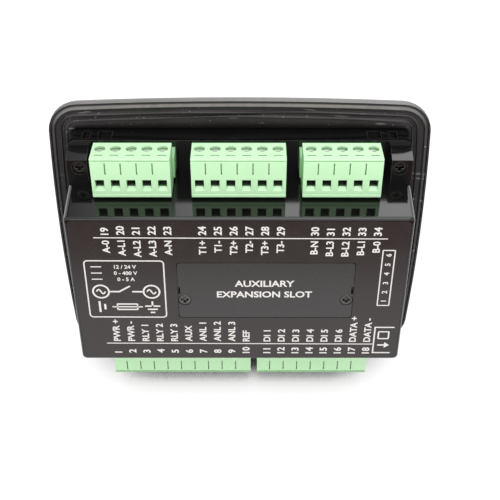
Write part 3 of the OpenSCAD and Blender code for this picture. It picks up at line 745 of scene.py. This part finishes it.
class InkSheet:
    """Flat ink shapes on one face, raised by the thickness of a print and gathered in one mesh."""

    thickness = 0.03 * MM
    letter_weight = 0.024
    letter_steps = 3
    mitre_least = 0.4
    same_spot = 0.0001 * MM
    letters: dict[str, list[list[Point]]] = {}

    def __init__(self, face: Face, plane: float, askew_deg: float = 0.0) -> None:
        """Starts a sheet.

        Args:
            face: The face that is printed.
            plane: Y of the surface that takes the ink.
            askew_deg: Turn of the whole print to the left.
        """
        self.face = face
        self.plane = plane
        self.askew = Matrix.Rotation(math.radians(askew_deg), 2)
        self.mesh = bmesh.new()

    def area(self, outline: Sequence[Point]) -> None:
        """Adds one filled shape, given by its corners in mm."""
        places = [self.askew @ Vector(p) for p in outline]
        self.mesh.faces.new([self.mesh.verts.new(self.face.at(p.x, p.y, self.plane)) for p in places])

    def bar(self, low: Point, high: Point) -> None:
        """Adds a filled rectangle between two corners."""
        self.area([low, (high[0], low[1]), high, (low[0], high[1])])

    def line(self, path: Sequence[Point], width: float, closed: bool = False) -> None:
        """Adds a line of even width with mitred corners.

        Args:
            path: Points of its middle, in mm.
            width: Width of the line.
            closed: True if the last point joins the first.
        """
        points = [Vector(p) for p in path]
        count = len(points)
        sides = []
        for i, point in enumerate(points):
            into = point - points[i - 1] if closed or i > 0 else points[1] - point
            out = points[(i + 1) % count] - point if closed or i < count - 1 else into
            across = Vector((-into.y, into.x)).normalized()
            mitre = (across + Vector((-out.y, out.x)).normalized()).normalized()
            reach = mitre * (width / 2 / max(mitre.dot(across), self.mitre_least))
            sides.append((tuple(point + reach), tuple(point - reach)))
        for i in range(count if closed else count - 1):
            (a, b), (c, d) = sides[i], sides[(i + 1) % count]
            self.area([a, b, d, c])

    def ring(self, centre: Point, radius: float, width: float, steps: int = 40) -> None:
        """Adds a circle drawn as a line of the given width."""
        turns = [2 * math.pi * i / steps for i in range(steps)]
        self.line([around(centre, radius, t) for t in turns], width, True)

    def wave(self, centre: Point, length: float, rise: float, width: float, steps: int = 24) -> None:
        """Adds one full swing of a sine, drawn as a line of the given width."""
        swing = [(i / steps - 0.5, math.sin(2 * math.pi * i / steps)) for i in range(steps + 1)]
        self.line([(centre[0] + length * x, centre[1] + rise * y) for x, y in swing], width)

    def frame(self, low: Point, high: Point, radius: float, width: float) -> None:
        """Adds a rectangle with round corners, drawn as a line of the given width."""
        self.line(rounded(low, high, radius), width, True)

    def words(self, text: str, centre: Point, cap: float, turn_deg: float = 0.0,
              stretch: float = 1.0) -> None:
        """Adds a line of plain lettering.

        Args:
            text: What it says.
            centre: Middle of the lettering, in mm.
            cap: Height of a capital.
            turn_deg: Turn to the left from the upright.
            stretch: Width of the letters against their plain width.
        """
        turn = Matrix.Rotation(math.radians(turn_deg), 2)
        for outline in self.glyphs(text):
            spots = [turn @ Vector((x * cap * stretch, y * cap)) for x, y in outline]
            self.area([(s.x + centre[0], s.y + centre[1]) for s in spots])

    @classmethod
    def glyphs(cls, text: str) -> list[list[Point]]:
        """Gives the filled faces of a text, centred, with capitals one unit high.

        Args:
            text: What it says.

        Returns:
            The corners of each face.
        """
        if text not in cls.letters:
            faces = cls.filled(text)
            ys = [y for f in cls.filled("H") for _, y in f]
            cap, middle = max(ys) - min(ys), (max(ys) + min(ys)) / 2
            xs = [x for f in faces for x, _ in f]
            centre = (max(xs) + min(xs)) / 2
            cls.letters[text] = [[((x - centre) / cap, (y - middle) / cap) for x, y in f] for f in faces]
        return cls.letters[text]

    @classmethod
    def half_width(cls, text: str) -> float:
        """Half the width of a text, with capitals one unit high."""
        return max(x for outline in cls.glyphs(text) for x, _ in outline)

    @classmethod
    def filled(cls, text: str) -> list[list[Point]]:
        """Gives the faces that the built-in font fills for a text, at its own size.

        Args:
            text: What it says.

        Returns:
            The corners of each face.
        """
        curve = bpy.data.curves.new("lettering", "FONT")
        curve.body = text
        curve.offset = cls.letter_weight
        curve.resolution_u = cls.letter_steps
        holder = bpy.data.objects.new("lettering", curve)
        bpy.context.scene.collection.objects.link(holder)
        data = bpy.data.meshes.new_from_object(holder.evaluated_get(bpy.context.evaluated_depsgraph_get()))
        faces = [[tuple(data.vertices[v].co.xy) for v in p.vertices] for p in data.polygons]
        bpy.data.meshes.remove(data)
        bpy.data.objects.remove(holder)
        bpy.data.curves.remove(curve)
        return faces

    def print(self, name: str, finish: Finish, body: str = MAIN_BODY) -> bpy.types.Object:
        """Raises the shapes and makes them one piece.

        Args:
            name: Name of the piece.
            finish: Its ink.
            body: The body that it moves with.

        Returns:
            The new object.
        """
        bmesh.ops.remove_doubles(self.mesh, verts=self.mesh.verts[:], dist=self.same_spot)
        raised = bmesh.ops.extrude_face_region(self.mesh, geom=self.mesh.faces[:], use_keep_orig=True)
        tops = [v for v in raised["geom"] if isinstance(v, bmesh.types.BMVert)]
        bmesh.ops.translate(self.mesh, verts=tops, vec=(0, self.face.value * self.thickness, 0))
        bmesh.ops.recalc_face_normals(self.mesh, faces=self.mesh.faces[:])
        return piece(name, self.mesh, finish, body)


@dataclass
class TerminalBlock:
    """One pull-out terminal block: header, plug, clamp screws and clamps."""

    name: str
    labels: Sequence[str]
    first_number: int
    print_from: float
    print_pitch: float = 5.08
    edge_mm: float = 0.14
    screw_edge_mm: float = 0.07

    def dress(self) -> None:
        """Gives each piece of the block its finish and its moulded edges."""
        soften(dress(f"{self.name}_plug", PLUG_POLYAMIDE), self.edge_mm)
        soften(dress(f"{self.name}_header", HEADER_POLYAMIDE), self.edge_mm)
        soften(dress(f"{self.name}_plug_screws", CLAMP_ZINC), self.screw_edge_mm)
        dress(f"{self.name}_plug_clamps", CLAMP_BRASS)

    def places(self) -> Iterator[tuple[float, str, str]]:
        """Gives each terminal's place across the rear face in mm, its number and its label."""
        for i, label in enumerate(self.labels):
            yield self.print_from + i * self.print_pitch, str(self.first_number + i), label


TOP_BLOCKS = (
    TerminalBlock("generator", ("A-0", "A-L1", "A-L2", "A-L3", "A-N"), 19, -43.6),
    TerminalBlock("current", ("T1+", "T1-", "T2+", "T2-", "T3+", "T3-"), 24, -12.1),
    TerminalBlock("mains", ("B-N", "B-L3", "B-L2", "B-L1", "B-0"), 30, 24.35),
)
LOW_BLOCKS = (
    TerminalBlock("power", ("PWR +", "PWR -", "RLY 1", "RLY 2", "RLY 3", "AUX", "ANL 1", "ANL 2", "ANL 3",
                            "REF"), 1, -43.1, 5.04),
    TerminalBlock("input", ("DI 1", "DI 2", "DI 3", "DI 4", "DI 5", "DI 6", "DATA +", "DATA -"),
                  11, 9.6, 5.02),
)


@dataclass
class RearPrint:
    """White print on the rear label and the module cover, in mm as seen from behind."""

    askew_deg: float = -0.25
    number_cap: float = 2.6
    number_gap: float = 1.15
    low_number_start: float = -27.3
    label_cap: float = 2.45
    label_gap: float = 1.05
    rule_w: float = 0.36
    top_rule: tuple[float, float, float] = (-47.4, 48.1, 22.8)
    low_rule: tuple[float, float, float] = (-46.9, 47.2, -22.8)
    rating_low: Point = (-51.5, -10.7)
    rating_high: Point = (-25.2, 13.5)
    rating_corner: float = 1.2
    rating_frame_w: float = 0.46
    rating_texts: Sequence[str] = ("12 / 24 V", "0 - 400 V", "0 - 5 A")
    rating_drop: float = 2.5
    rating_pitch: float = 2.6
    rating_cap: float = 1.5
    rating_in: float = 13.5
    dash: Point = (2.0, 5.6)
    dash_w: float = 0.4
    symbol_in: float = 4.6
    symbol_w: float = 0.6
    source_r: float = 2.7
    source_wave: tuple[float, float, float] = (3.0, 0.9, 0.5)
    source_row: float = 11.2
    source_gap: float = 0.2
    blade: Sequence[Point] = ((-2.4, 0.0), (1.4, 2.4))
    contact: float = 2.0
    earth_row: float = 4.6
    cell_plates: Sequence[Point] = ((-0.9, 2.4), (0.9, 1.2))
    cell_w: float = 0.7
    fuse_half: Point = (3.4, 1.2)
    fuse_lead: float = 5.2
    earth_bars: Sequence[float] = (2.6, 1.7, 0.8)
    earth_pitch: float = 1.4
    earth_stem: float = 2.4
    field_low: Point = (47.0, -5.1)
    field_high: Point = (51.0, 18.2)
    field_count: int = 6
    field_cap: float = 1.8
    field_w: float = 0.4
    port_low: Point = (47.25, -26.85)
    port_high: Point = (54.0, -15.0)
    port_short: float = 0.6
    port_w: float = 0.5
    socket_sign: tuple[Point, Point] = ((1.4, 0.7), (5.0, 3.9))
    arrow_stem: tuple[Point, Point] = ((1.4, -2.6), (3.8, -2.0))
    arrow_head: Sequence[Point] = ((3.8, -3.6), (5.6, -2.3), (3.8, -1.0))
    titles: Sequence[tuple[str, float]] = (("AUXILIARY", 4.1), ("EXPANSION SLOT", -0.5))
    title_cap: float = 2.6
    title_stretch: float = 1.12
    title_left: float = 0.4

    def build(self) -> None:
        """Prints the label and the cover."""
        label = InkSheet(Face.REAR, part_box("rear_label")[1].y, self.askew_deg)
        self.rows(label)
        self.ratings(label)
        self.circuit(label)
        self.field(label)
        self.port(label)
        label.print("rear_label_print", WHITE_INK)
        cover = InkSheet(Face.REAR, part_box("module_cover")[1].y)
        middle = -sum(v.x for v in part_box("module_cover")) / 2 / MM
        for text, level in self.titles:
            cover.words(text, (middle - self.title_left, level), self.title_cap, stretch=self.title_stretch)
        cover.print("module_cover_print", WHITE_INK)

    def rows(self, sheet: InkSheet) -> None:
        """Adds the rules, with the terminal numbers and labels on both sides of them.

        Args:
            sheet: Ink of the label.
        """
        for blocks, rule, start, side in (
            (TOP_BLOCKS, self.top_rule, self.top_rule[2] + self.number_gap, -1),
            (LOW_BLOCKS, self.low_rule, self.low_number_start, 1),
        ):
            left, right, level = rule
            sheet.bar((left, level - self.rule_w / 2), (right, level + self.rule_w / 2))
            for block in blocks:
                for across, number, label in block.places():
                    half = InkSheet.half_width(number) * self.number_cap
                    sheet.words(number, (across, start + half), self.number_cap, 90)
                    half = InkSheet.half_width(label) * self.label_cap
                    sheet.words(label, (across, level + side * (self.label_gap + half)), self.label_cap, 90)

    def ratings(self, sheet: InkSheet) -> None:
        """Adds the framed field with its plain ratings.

        Args:
            sheet: Ink of the label.
        """
        sheet.frame(self.rating_low, self.rating_high, self.rating_corner, self.rating_frame_w)
        left, high = self.rating_low[0], self.rating_high[1]
        for i, text in enumerate(self.rating_texts):
            level = high - self.rating_drop - self.rating_pitch * i
            sheet.line([(left + end, level) for end in self.dash], self.dash_w)
            sheet.words(text, (left + self.rating_in, level), self.rating_cap)

    def circuit(self, sheet: InkSheet) -> None:
        """Adds two sources with a switch between them, over a cell, a fuse and an earth.

        Args:
            sheet: Ink of the label.
        """
        left, right = self.rating_low[0] + self.symbol_in, self.rating_high[0] - self.symbol_in
        middle = (left + right) / 2
        upper, lower = self.rating_low[1] + self.source_row, self.rating_low[1] + self.earth_row
        for across in (left, right):
            sheet.ring((across, upper), self.source_r, self.symbol_w)
            sheet.wave((across, upper), *self.source_wave)
        lead = self.source_r + self.source_gap
        blade = [(middle + x, upper + y) for x, y in self.blade]
        sheet.line([(left + lead, upper), *blade], self.symbol_w)
        sheet.line([(middle + self.contact, upper), (right - lead, upper)], self.symbol_w)
        for shift, half in self.cell_plates:
            plate = left + shift
            sheet.bar((plate - self.cell_w / 2, lower - half), (plate + self.cell_w / 2, lower + half))
        wide, tall = self.fuse_half
        sheet.frame((middle - wide, lower - tall), (middle + wide, lower + tall), 0.1, 0.55)
        sheet.line([(middle - self.fuse_lead, lower), (middle + self.fuse_lead, lower)], 0.5)
        for i, half in enumerate(self.earth_bars):
            level = lower - self.earth_pitch * i
            sheet.bar((right - half, level), (right + half, level + self.symbol_w))
        sheet.bar((right - self.symbol_w / 2, lower), (right + self.symbol_w / 2, lower + self.earth_stem))

    def field(self, sheet: InkSheet) -> None:
        """Adds the narrow upright field with its row of plain numbers.

        Args:
            sheet: Ink of the label.
        """
        sheet.frame(self.field_low, self.field_high, 0.2, self.field_w)
        across = (self.field_low[0] + self.field_high[0]) / 2
        step = (self.field_high[1] - self.field_low[1]) / self.field_count
        for i in range(self.field_count):
            sheet.words(str(i + 1), (across, self.field_low[1] + step * (i + 0.5)), self.field_cap, 90)

    def port(self, sheet: InkSheet) -> None:
        """Adds the bracket beside the data port, with a socket sign and an arrow towards it.

        Args:
            sheet: Ink of the label.
        """
        (left, low), (right, high) = self.port_low, self.port_high
        sheet.line([(right, high), (left, high), (left, low), (right - self.port_short, low)], self.port_w)
        middle = (low + high) / 2
        socket, stem, head = [
            [(left + x, middle + y) for x, y in shape]
            for shape in (self.socket_sign, self.arrow_stem, self.arrow_head)
        ]
        sheet.frame(*socket, 0.3, self.port_w)
        sheet.bar(*stem)
        sheet.area(head)


@dataclass(frozen=True)
class Rib:
    """Section of one gasket rib in mm: where it starts, crests and ends inwards, and its pale film, partly
    dust, partly painted light.
    """

    start: float
    crest: float
    end: float
    dust_and_light: float

    rise_steps = (0, 0.12, 0.3, 0.5, 0.7, 0.88, 1)
    fall_steps = (0.3, 0.55, 0.8, 1)
    fall_power = 0.8

    def stations(self) -> Iterator[tuple[float, float, float]]:
        """Follows the rib inwards, up a long outer slope and down a short drop.

        Returns:
            Insets with shares of the rib's height, and of its pale film of dust and painted light.
        """
        for share in self.rise_steps:
            rise = math.sin(share * math.pi / 2)
            yield self.start + (self.crest - self.start) * share, rise, self.dust_and_light
        for share in self.fall_steps:
            fall = math.cos(share * math.pi / 2) ** self.fall_power
            yield self.crest + (self.end - self.crest) * share, fall, self.dust_and_light * (1 - share)


@dataclass
class Gasket:
    """Rubber ring on the flange, with soft ribs that follow the bezel's bowed outline, in mm."""

    bow: float = 1.7
    corner_r: float = 9.5
    corner_least: float = 2.0
    corner_share: float = 1.1
    edge_in: float = 0.78
    edge_lean: float = 0.01
    # The pale film is heaviest on the outer rib and the top side and least on the sides: partly dust, partly
    # painted light where the top light falls
    ribs: Sequence[Rib] = (Rib(0.86, 1.95, 2.3, 0.45), Rib(3.55, 4.15, 4.45, 0.04), Rib(5.4, 6.1, 6.4, 0.02))
    flat_dust_and_light: float = 0.12
    side_dust_and_light: float = 0.08
    crease: float = 0.12
    base_share: float = 0.53
    inner_r: float = 3.0
    inner_play: float = 0.15
    corner_steps: int = 14
    side_steps: int = 46
    wander: float = 0.2
    sways: Sequence[tuple[int, float]] = ((5, 1.0), (13, 0.6))

    def build(self) -> None:
        """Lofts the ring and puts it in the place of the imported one."""
        made = piece("panel_gasket_ribs", self.ring(), GASKET_RUBBER)
        for face in made.data.polygons:
            face.use_smooth = True
        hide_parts("panel_gasket")

    def dress(self) -> None:
        """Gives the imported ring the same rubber."""
        dress("panel_gasket", GASKET_RUBBER)

    def outline(self, inset: float) -> list[Vector]:
        """Bezel outline at an inset.

        Args:
            inset: Distance inwards from the bezel's edge, in mm.

        Returns:
            Points across and up, in mm.
        """
        low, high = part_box("front_bezel")
        half_w = (high.x - low.x) / 2 / MM - inset - self.bow
        half_h = (high.z - low.z) / 2 / MM - inset - self.bow
        radius = max(self.corner_r - self.corner_share * inset, self.corner_least)
        points = rounded((-half_w, -half_h), (half_w, half_h), radius, self.corner_steps, self.side_steps)
        bowed = []
        for x, z in points:
            grow_x = 1 + self.bow / half_w * (1 - (z / half_h) ** 2)
            grow_z = 1 + self.bow / half_h * (1 - (x / half_w) ** 2)
            bowed.append(Vector((x * grow_x, z * grow_z)))
        return bowed

    def inner(self) -> list[Vector]:
        """Inner edge, round the tray of the housing.

        Returns:
            Points across and up, in mm.
        """
        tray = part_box("rear_housing")[1] / MM
        half = (tray.x + self.inner_play, tray.z + self.inner_play)
        low = (-half[0], -half[1])
        return [Vector(p) for p in rounded(low, half, self.inner_r, self.corner_steps, self.side_steps)]

    def section(self, floor: float, crest: float) -> list[tuple[float, float, float]]:
        """Follows the ring's rear face from the outer edge to the last rib.

        Args:
            floor: Y of the ring's front face, in mm.
            crest: Y of the tops of its ribs, in mm.

        Returns:
            Insets and heights in mm, and the share of the pale film of dust and painted light.
        """
        base = floor + self.base_share * (crest - floor)
        stations = [(self.edge_in, floor, 0.0), (self.edge_in + self.edge_lean, base - self.crease, 0.0)]
        for rib in self.ribs:
            stations += [(inset, base + (crest - base) * rise, dust_and_light) for inset, rise, dust_and_light in rib.stations()]
            stations.append((rib.end + self.crease, base, self.flat_dust_and_light * (rib == self.ribs[-1])))
        for rib in self.ribs[1:]:
            stations.append((rib.start - self.crease, base, 0.0))
        return sorted(stations)

    def ring(self) -> bmesh.types.BMesh:
        """Lofts the section round the outline, with a pale film of dust and painted light on what faces up.

        Returns:
            A closed ring.
        """
        mesh = bmesh.new()
        dusty_and_lit = mesh.verts.layers.float.new(GASKET_RUBBER.dust_and_light_layer)
        low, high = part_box("panel_gasket")
        floor, crest = low.y / MM, high.y / MM
        base = (floor + self.base_share * (crest - floor)) * MM
        rim, inside = self.outline(0), self.outline(self.edge_in)
        # The pale film is heaviest where the ring faces up: partly dust, partly painted light
        upward = [max((a - b).normalized().y, self.side_dust_and_light) for a, b in zip(rim, inside)]
        outer, second = self.ribs[:2]
        loops = []
        for inset, height, dust_and_light in self.section(floor, crest):
            points = self.outline(inset)
            # The ribs wander a little, as rubber does, but for the outer one
            wander = self.wander * min(max((inset - outer.end) / (second.start - outer.end), 0), 1)
            loop = []
            for i, p in enumerate(points):
                phase = 2 * math.pi * i / len(points)
                sway = sum(w * math.sin(t * phase + n * inset) for n, (t, w) in enumerate(self.sways, 1))
                shift = 1 - wander * sway / max(p.length, 1)
                vert = mesh.verts.new((p.x * shift * MM, height * MM, p.y * shift * MM))
                vert[dusty_and_lit] = dust_and_light * upward[i]
                loop.append(vert)
            loops.append(loop)
        edge = self.inner()
        for level in (base, low.y):
            loops.append([mesh.verts.new((p.x * MM, level, p.y * MM)) for p in edge])
        count = len(edge)
        for a, b in zip(loops, loops[1:] + loops[:1]):
            for i in range(count):
                j = (i + 1) % count
                mesh.faces.new((a[i], a[j], b[j], b[i]))
        bmesh.ops.recalc_face_normals(mesh, faces=mesh.faces[:])
        return mesh


@dataclass
class Housing:
    """Bezel, rear housing, label, cover and their screws."""

    bezel_edge_mm: float = 0.35
    housing_edge_mm: float = 0.3
    housing_sharp_deg: float = 40.0
    cover_edge_mm: float = 0.15
    screw_edge_mm: float = 0.12

    def dress(self) -> None:
        """Gives each piece its finish and the edges that its mould leaves."""
        soften(dress("front_bezel", BEZEL_ABS), self.bezel_edge_mm)
        soften(dress("rear_housing", HOUSING_ABS), self.housing_edge_mm, sharp_deg=self.housing_sharp_deg)
        dress("rear_label", LABEL_FILM)
        soften(dress("module_cover", COVER_FILM), self.cover_edge_mm)
        for node in ("cover_screws", "housing_screws"):
            soften(dress(node, SCREW_BLACK), self.screw_edge_mm)


@dataclass
class FrontPanel:
    """Film, keys, lamps and display on the side that faces the user, in mm."""

    key_edge_mm: float = 0.22
    key_edge_steps: int = 3
    line_w: float = 0.5
    window_margin: float = 1.0
    window_corner: float = 2.4
    lamp_r: float = 1.4
    lamp_count: int = 4
    lamp_gap: float = 2.6
    tick: float = 1.2
    symbol_w: float = 0.9
    symbol_share: float = 0.42
    arrows: dict[str, float] = field(default_factory=lambda: {
        "left_key": 180, "down_key": 270, "right_key": 0, "up_key": 90,
    })
    arrow_corners: Sequence[float] = (0, 2.1, -2.1)
    sweep_from_deg: float = 60.0
    sweep_deg: float = 290.0
    sweep_steps: int = 24
    sweep_tip: Point = (1.3, 1.7)
    key_wave: tuple[float, float, float] = (2.4, 0.8, 0.6)
    figures: Sequence[tuple[str, str, float]] = (("400", "V", 0.8), ("50.0", "Hz", 0.5), ("24.0", "V", 0.65))
    figure_cap: float = 6.2
    figure_in: float = 15.0
    figure_drop: float = 8.0
    figure_pitch: float = 11.5
    unit_cap: float = 3.4
    unit_in: float = 30.0
    unit_drop: float = 1.2
    bar_from: float = 2.0
    bar_margin: float = 5.0
    bar_half: float = 2.0
    bar_gap: float = 0.7
    bar_w: float = 0.4
    nodes: dict[str, Finish] = field(default_factory=lambda: {
        "front_overlay": FRONT_FILM, "display_window": WINDOW_PC, "display_glass": CELL_GLASS,
        "display_backlight": LIGHT_PMMA, "display_holder": HOLDER_PBT, "tact_switches": PART_BLACK,
        "light_pipes": PIPE_PMMA, "status_leds": LAMP_EPOXY,
    })

    def dress(self) -> None:
        """Gives each piece its finish, and the keys their soft edges."""
        for node, finish in self.nodes.items():
            dress(node, finish)
        for key in KEYS:
            cap = STOP_SILICONE if key == "stop_key" else KEY_SILICONE
            soften(dress(key, cap), self.key_edge_mm, self.key_edge_steps)

    def build(self) -> None:
        """Prints the film, the key symbols and what the display shows."""
        self.film()
        for key in KEYS:
            sheet = InkSheet(Face.FRONT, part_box(key)[0].y)
            self.symbol(sheet, key)
            sheet.print(f"{key}_symbol", WHITE_INK, key)
        self.display()

    def spot(self, node: str) -> tuple[float, float, float, float]:
        """Middle and half size of a node's front, in mm across and up."""
        low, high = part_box(node)
        return ((low.x + high.x) / 2 / MM, (low.z + high.z) / 2 / MM,
                (high.x - low.x) / 2 / MM, (high.z - low.z) / 2 / MM)

    def film(self) -> None:
        """Prints a frame round the window, and a line diagram between the lamps."""
        sheet = InkSheet(Face.FRONT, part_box("front_overlay")[0].y)
        x, z, half_w, half_h = self.spot("display_window")
        half_w, half_h = half_w + self.window_margin, half_h + self.window_margin
        sheet.frame((x - half_w, z - half_h), (x + half_w, z + half_h), self.window_corner, self.line_w)
        low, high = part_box("light_pipes")
        first, last = low.x / MM + self.lamp_r, high.x / MM - self.lamp_r
        level = high.z / MM + self.lamp_gap
        sheet.line([(first, level), (last, level)], self.line_w)
        for i in range(self.lamp_count):
            across = first + (last - first) * i / (self.lamp_count - 1)
            sheet.bar((across - self.line_w / 2, level - self.tick), (across + self.line_w / 2, level))
        sheet.print("front_film_print", PALE_INK)

    def symbol(self, sheet: InkSheet, key: str) -> None:
        """Adds the plain symbol of one key.

        Args:
            sheet: Ink of the key.
            key: Name of the key.
        """
        x, z, _, half_h = self.spot(key)
        size = self.symbol_share * half_h
        if key in self.arrows:
            turn = math.radians(self.arrows[key])
            sheet.area([around((x, z), size, turn + a) for a in self.arrow_corners])
        elif key == "run_key":
            sheet.bar((x - self.symbol_w / 2, z - size), (x + self.symbol_w / 2, z + size))
        elif key == "auto_key":
            steps = self.sweep_steps
            sweep = [math.radians(self.sweep_from_deg + self.sweep_deg * i / steps) for i in range(steps + 1)]
            path = [around((x, z), size, a) for a in sweep]
            sheet.line(path, self.symbol_w)
            (tip_x, tip_z), (half, rise) = path[-1], self.sweep_tip
            sheet.area([(tip_x - half, tip_z), (tip_x + half, tip_z), (tip_x, tip_z + rise)])
        else:
            sheet.ring((x, z), size, self.symbol_w)
            if key == "test_key":
                sheet.wave((x, z), *self.key_wave)

    def display(self) -> None:
        """Sets plain figures and bars on the display cell."""
        sheet = InkSheet(Face.FRONT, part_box("display_glass")[0].y)
        x, z, half_w, half_h = self.spot("display_glass")
        left, right = x + self.bar_from, x + half_w - self.bar_margin
        start, half = left + self.bar_gap, self.bar_half - self.bar_gap
        for row, (figure, unit, share) in enumerate(self.figures):
            level = z + half_h - self.figure_drop - row * self.figure_pitch
            sheet.words(figure, (x - half_w + self.figure_in, level), self.figure_cap)
            sheet.words(unit, (x - half_w + self.unit_in, level - self.unit_drop), self.unit_cap)
            sheet.frame((left, level - self.bar_half), (right, level + self.bar_half), 0.1, self.bar_w)
            length = share * (right - left - 2 * self.bar_gap)
            sheet.bar((start, level - half), (start + length, level + half))
        sheet.print("display_segments", SEGMENT_DARK)


@dataclass
class Electronics:
    """Board and what is soldered to it, inside the closed housing."""

    nodes: dict[str, Finish] = field(default_factory=lambda: {
        "main_board": BOARD_FR4, "module_socket": PART_BLACK, "header_pins": PIN_TIN,
        "data_port_shell": PORT_NICKEL, "data_port_tongue": PORT_PBT, "relays": RELAY_PBT,
        "capacitors": SLEEVE_PVC, "processor": PART_BLACK, "current_transformers": CORE_EPOXY,
    })

    def dress(self) -> None:
        """Gives each piece its finish."""
        for node, finish in self.nodes.items():
            dress(node, finish)


@dataclass
class Studio:
    """Pale floor, soft light and the camera that stands where the photographer did, in metres."""

    camera_at: Vector = field(default_factory=lambda: Vector((-3.044, 274.739, 192.339)) * MM)
    look_down_deg: float = 36.085
    azimuth_deg: float = 179.896
    roll_deg: float = 0.093
    focal_px: float = 904.7
    frame_px: float = 500.0
    sensor_mm: float = 36.0
    clip_near: float = 0.01
    floor_half: float = 3.0
    card_half: float = 0.5
    card_near: float = 0.12
    card_far: float = 0.5
    card_lift: float = 0.0002
    lamp_distance: float = 0.8
    lamp_side: float = 0.5
    key_from: Vector = field(default_factory=lambda: Vector((-0.12, 0.43, 0.88)))
    key_watts: float = 2.4
    fill_from: Vector = field(default_factory=lambda: Vector((0.0, 0.99, 0.12)))
    fill_watts: float = 1.25
    sky_level: float = 0.82
    # Levels that the eye and gloss see, brighter than the even sky that lights the part: a painted reflection
    # of a tent and a window behind
    painted_tent_level: float = 1.2
    painted_window_level: float = 3.0
    painted_window_across: Point = (0.24, -0.05)
    painted_window_above: Point = (0.46, 0.56)
    painted_window_behind: Point = (-0.2, -0.5)

    def build(self) -> None:
        """Sets up the camera, the floor, the card, the lamps and the world."""
        bpy.context.scene.view_settings.view_transform = "Standard"
        self.camera()
        self.floor()
        self.card()
        self.lamp("soft_box", self.key_from, self.key_watts)
        self.lamp("low_fill", self.fill_from, self.fill_watts)
        self.world()

    def camera(self) -> None:
        """Stands the camera at the place and angle of the photograph."""
        data = bpy.data.cameras.new("camera")
        data.sensor_fit = "HORIZONTAL"
        data.sensor_width = self.sensor_mm
        data.lens = self.sensor_mm * self.focal_px / self.frame_px
        data.clip_start = self.clip_near
        eye = bpy.data.objects.new("camera", data)
        eye.matrix_world = (
            Matrix.Translation(self.camera_at)
            @ Matrix.Rotation(math.radians(self.azimuth_deg), 4, "Z")
            @ Matrix.Rotation(math.radians(90 - self.look_down_deg), 4, "X")
            @ Matrix.Rotation(math.radians(self.roll_deg), 4, "Z")
        )
        bpy.context.scene.collection.objects.link(eye)
        bpy.context.scene.camera = eye

    def sheet(self, name: str, low: Vector, high: Vector, finish: Finish) -> bpy.types.Object:
        """Lays a flat rectangle that isn't part of the object.

        Args:
            name: Name of the sheet.
            low: One corner, at the sheet's level.
            high: The opposite corner.
            finish: Its material.

        Returns:
            The new object.
        """
        corners = [(low.x, low.y), (high.x, low.y), (high.x, high.y), (low.x, high.y)]
        data = bpy.data.meshes.new(name)
        data.from_pydata([(x, y, low.z) for x, y in corners], [], [(0, 1, 2, 3)])
        data.materials.append(finish.material())
        made = bpy.data.objects.new(name, data)
        bpy.context.scene.collection.objects.link(made)
        return made

    def floor(self) -> None:
        """Lays the pale floor under the bezel's lower edge."""
        half, level = self.floor_half, CAD_BOX[0].z
        self.sheet("floor", Vector((-half, -half, level)), Vector((half, half, level)), FLOOR_PAPER)

    def card(self) -> None:
        """Lays a brown card in front of the part, out of the picture, that shows only in its gloss: a painted
        reflection of shade.
        """
        half, level = self.card_half, CAD_BOX[0].z + self.card_lift
        low, high = Vector((-half, self.card_near, level)), Vector((half, self.card_far, level))
        card = self.sheet("dark_card", low, high, BROWN_CARD)
        card.visible_camera = False
        card.visible_diffuse = False
        card.visible_shadow = False
        card.visible_transmission = False

    def lamp(self, name: str, way: Vector, watts: float) -> None:
        """Hangs one wide soft box that faces the part.

        Args:
            name: Name of the lamp.
            way: Direction from the part to the lamp.
            watts: Its power.
        """
        data = bpy.data.lights.new(name, "AREA")
        data.shape = "SQUARE"
        data.size = self.lamp_side
        data.energy = watts
        box = bpy.data.objects.new(name, data)
        box.location = way.normalized() * self.lamp_distance
        box.rotation_euler = (-box.location).to_track_quat("-Z", "Y").to_euler()
        bpy.context.scene.collection.objects.link(box)

    def world(self) -> None:
        """Sets a light tent: an even sky for light, and for the eye and for gloss a brighter cloth with a
        window behind, which light nothing: painted reflections.
        """
        sky = bpy.data.worlds.new("studio")
        bpy.context.scene.world = sky
        sky.use_nodes = True
        tree = sky.node_tree
        tree.nodes.clear()
        way = add(tree, "SeparateXYZ", {0: add(tree, "TexCoord").outputs["Generated"]}).outputs
        across = ramp(tree, way["X"], self.painted_window_across)
        above = ramp(tree, way["Z"], self.painted_window_above)
        behind = ramp(tree, way["Y"], self.painted_window_behind)
        back = Join.PRODUCT.of(tree, above, behind)
        painted_window = Join.PRODUCT.of(tree, across, self.painted_window_level)
        painted_cloth = add(tree, "Mix", {0: back, 2: self.painted_tent_level, 3: painted_window})
        level = add(tree, "Mix", {0: seen(tree), 2: self.sky_level, 3: painted_cloth.outputs[0]})
        light = add(tree, "Background", {"Color": WHITE, "Strength": level.outputs[0]})
        add(tree, "OutputWorld", {"Surface": light.outputs[0]})


def main() -> None:
    """Builds the studio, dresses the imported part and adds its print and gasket."""
    logging.basicConfig(level=logging.INFO, format="%(message)s")
    Studio().build()
    Housing().dress()
    gasket = Gasket()
    gasket.build()
    gasket.dress()
    for block in TOP_BLOCKS + LOW_BLOCKS:
        block.dress()
    RearPrint().build()
    front = FrontPanel()
    front.dress()
    front.build()
    Electronics().dress()


if __name__ == "__main__":
    main()
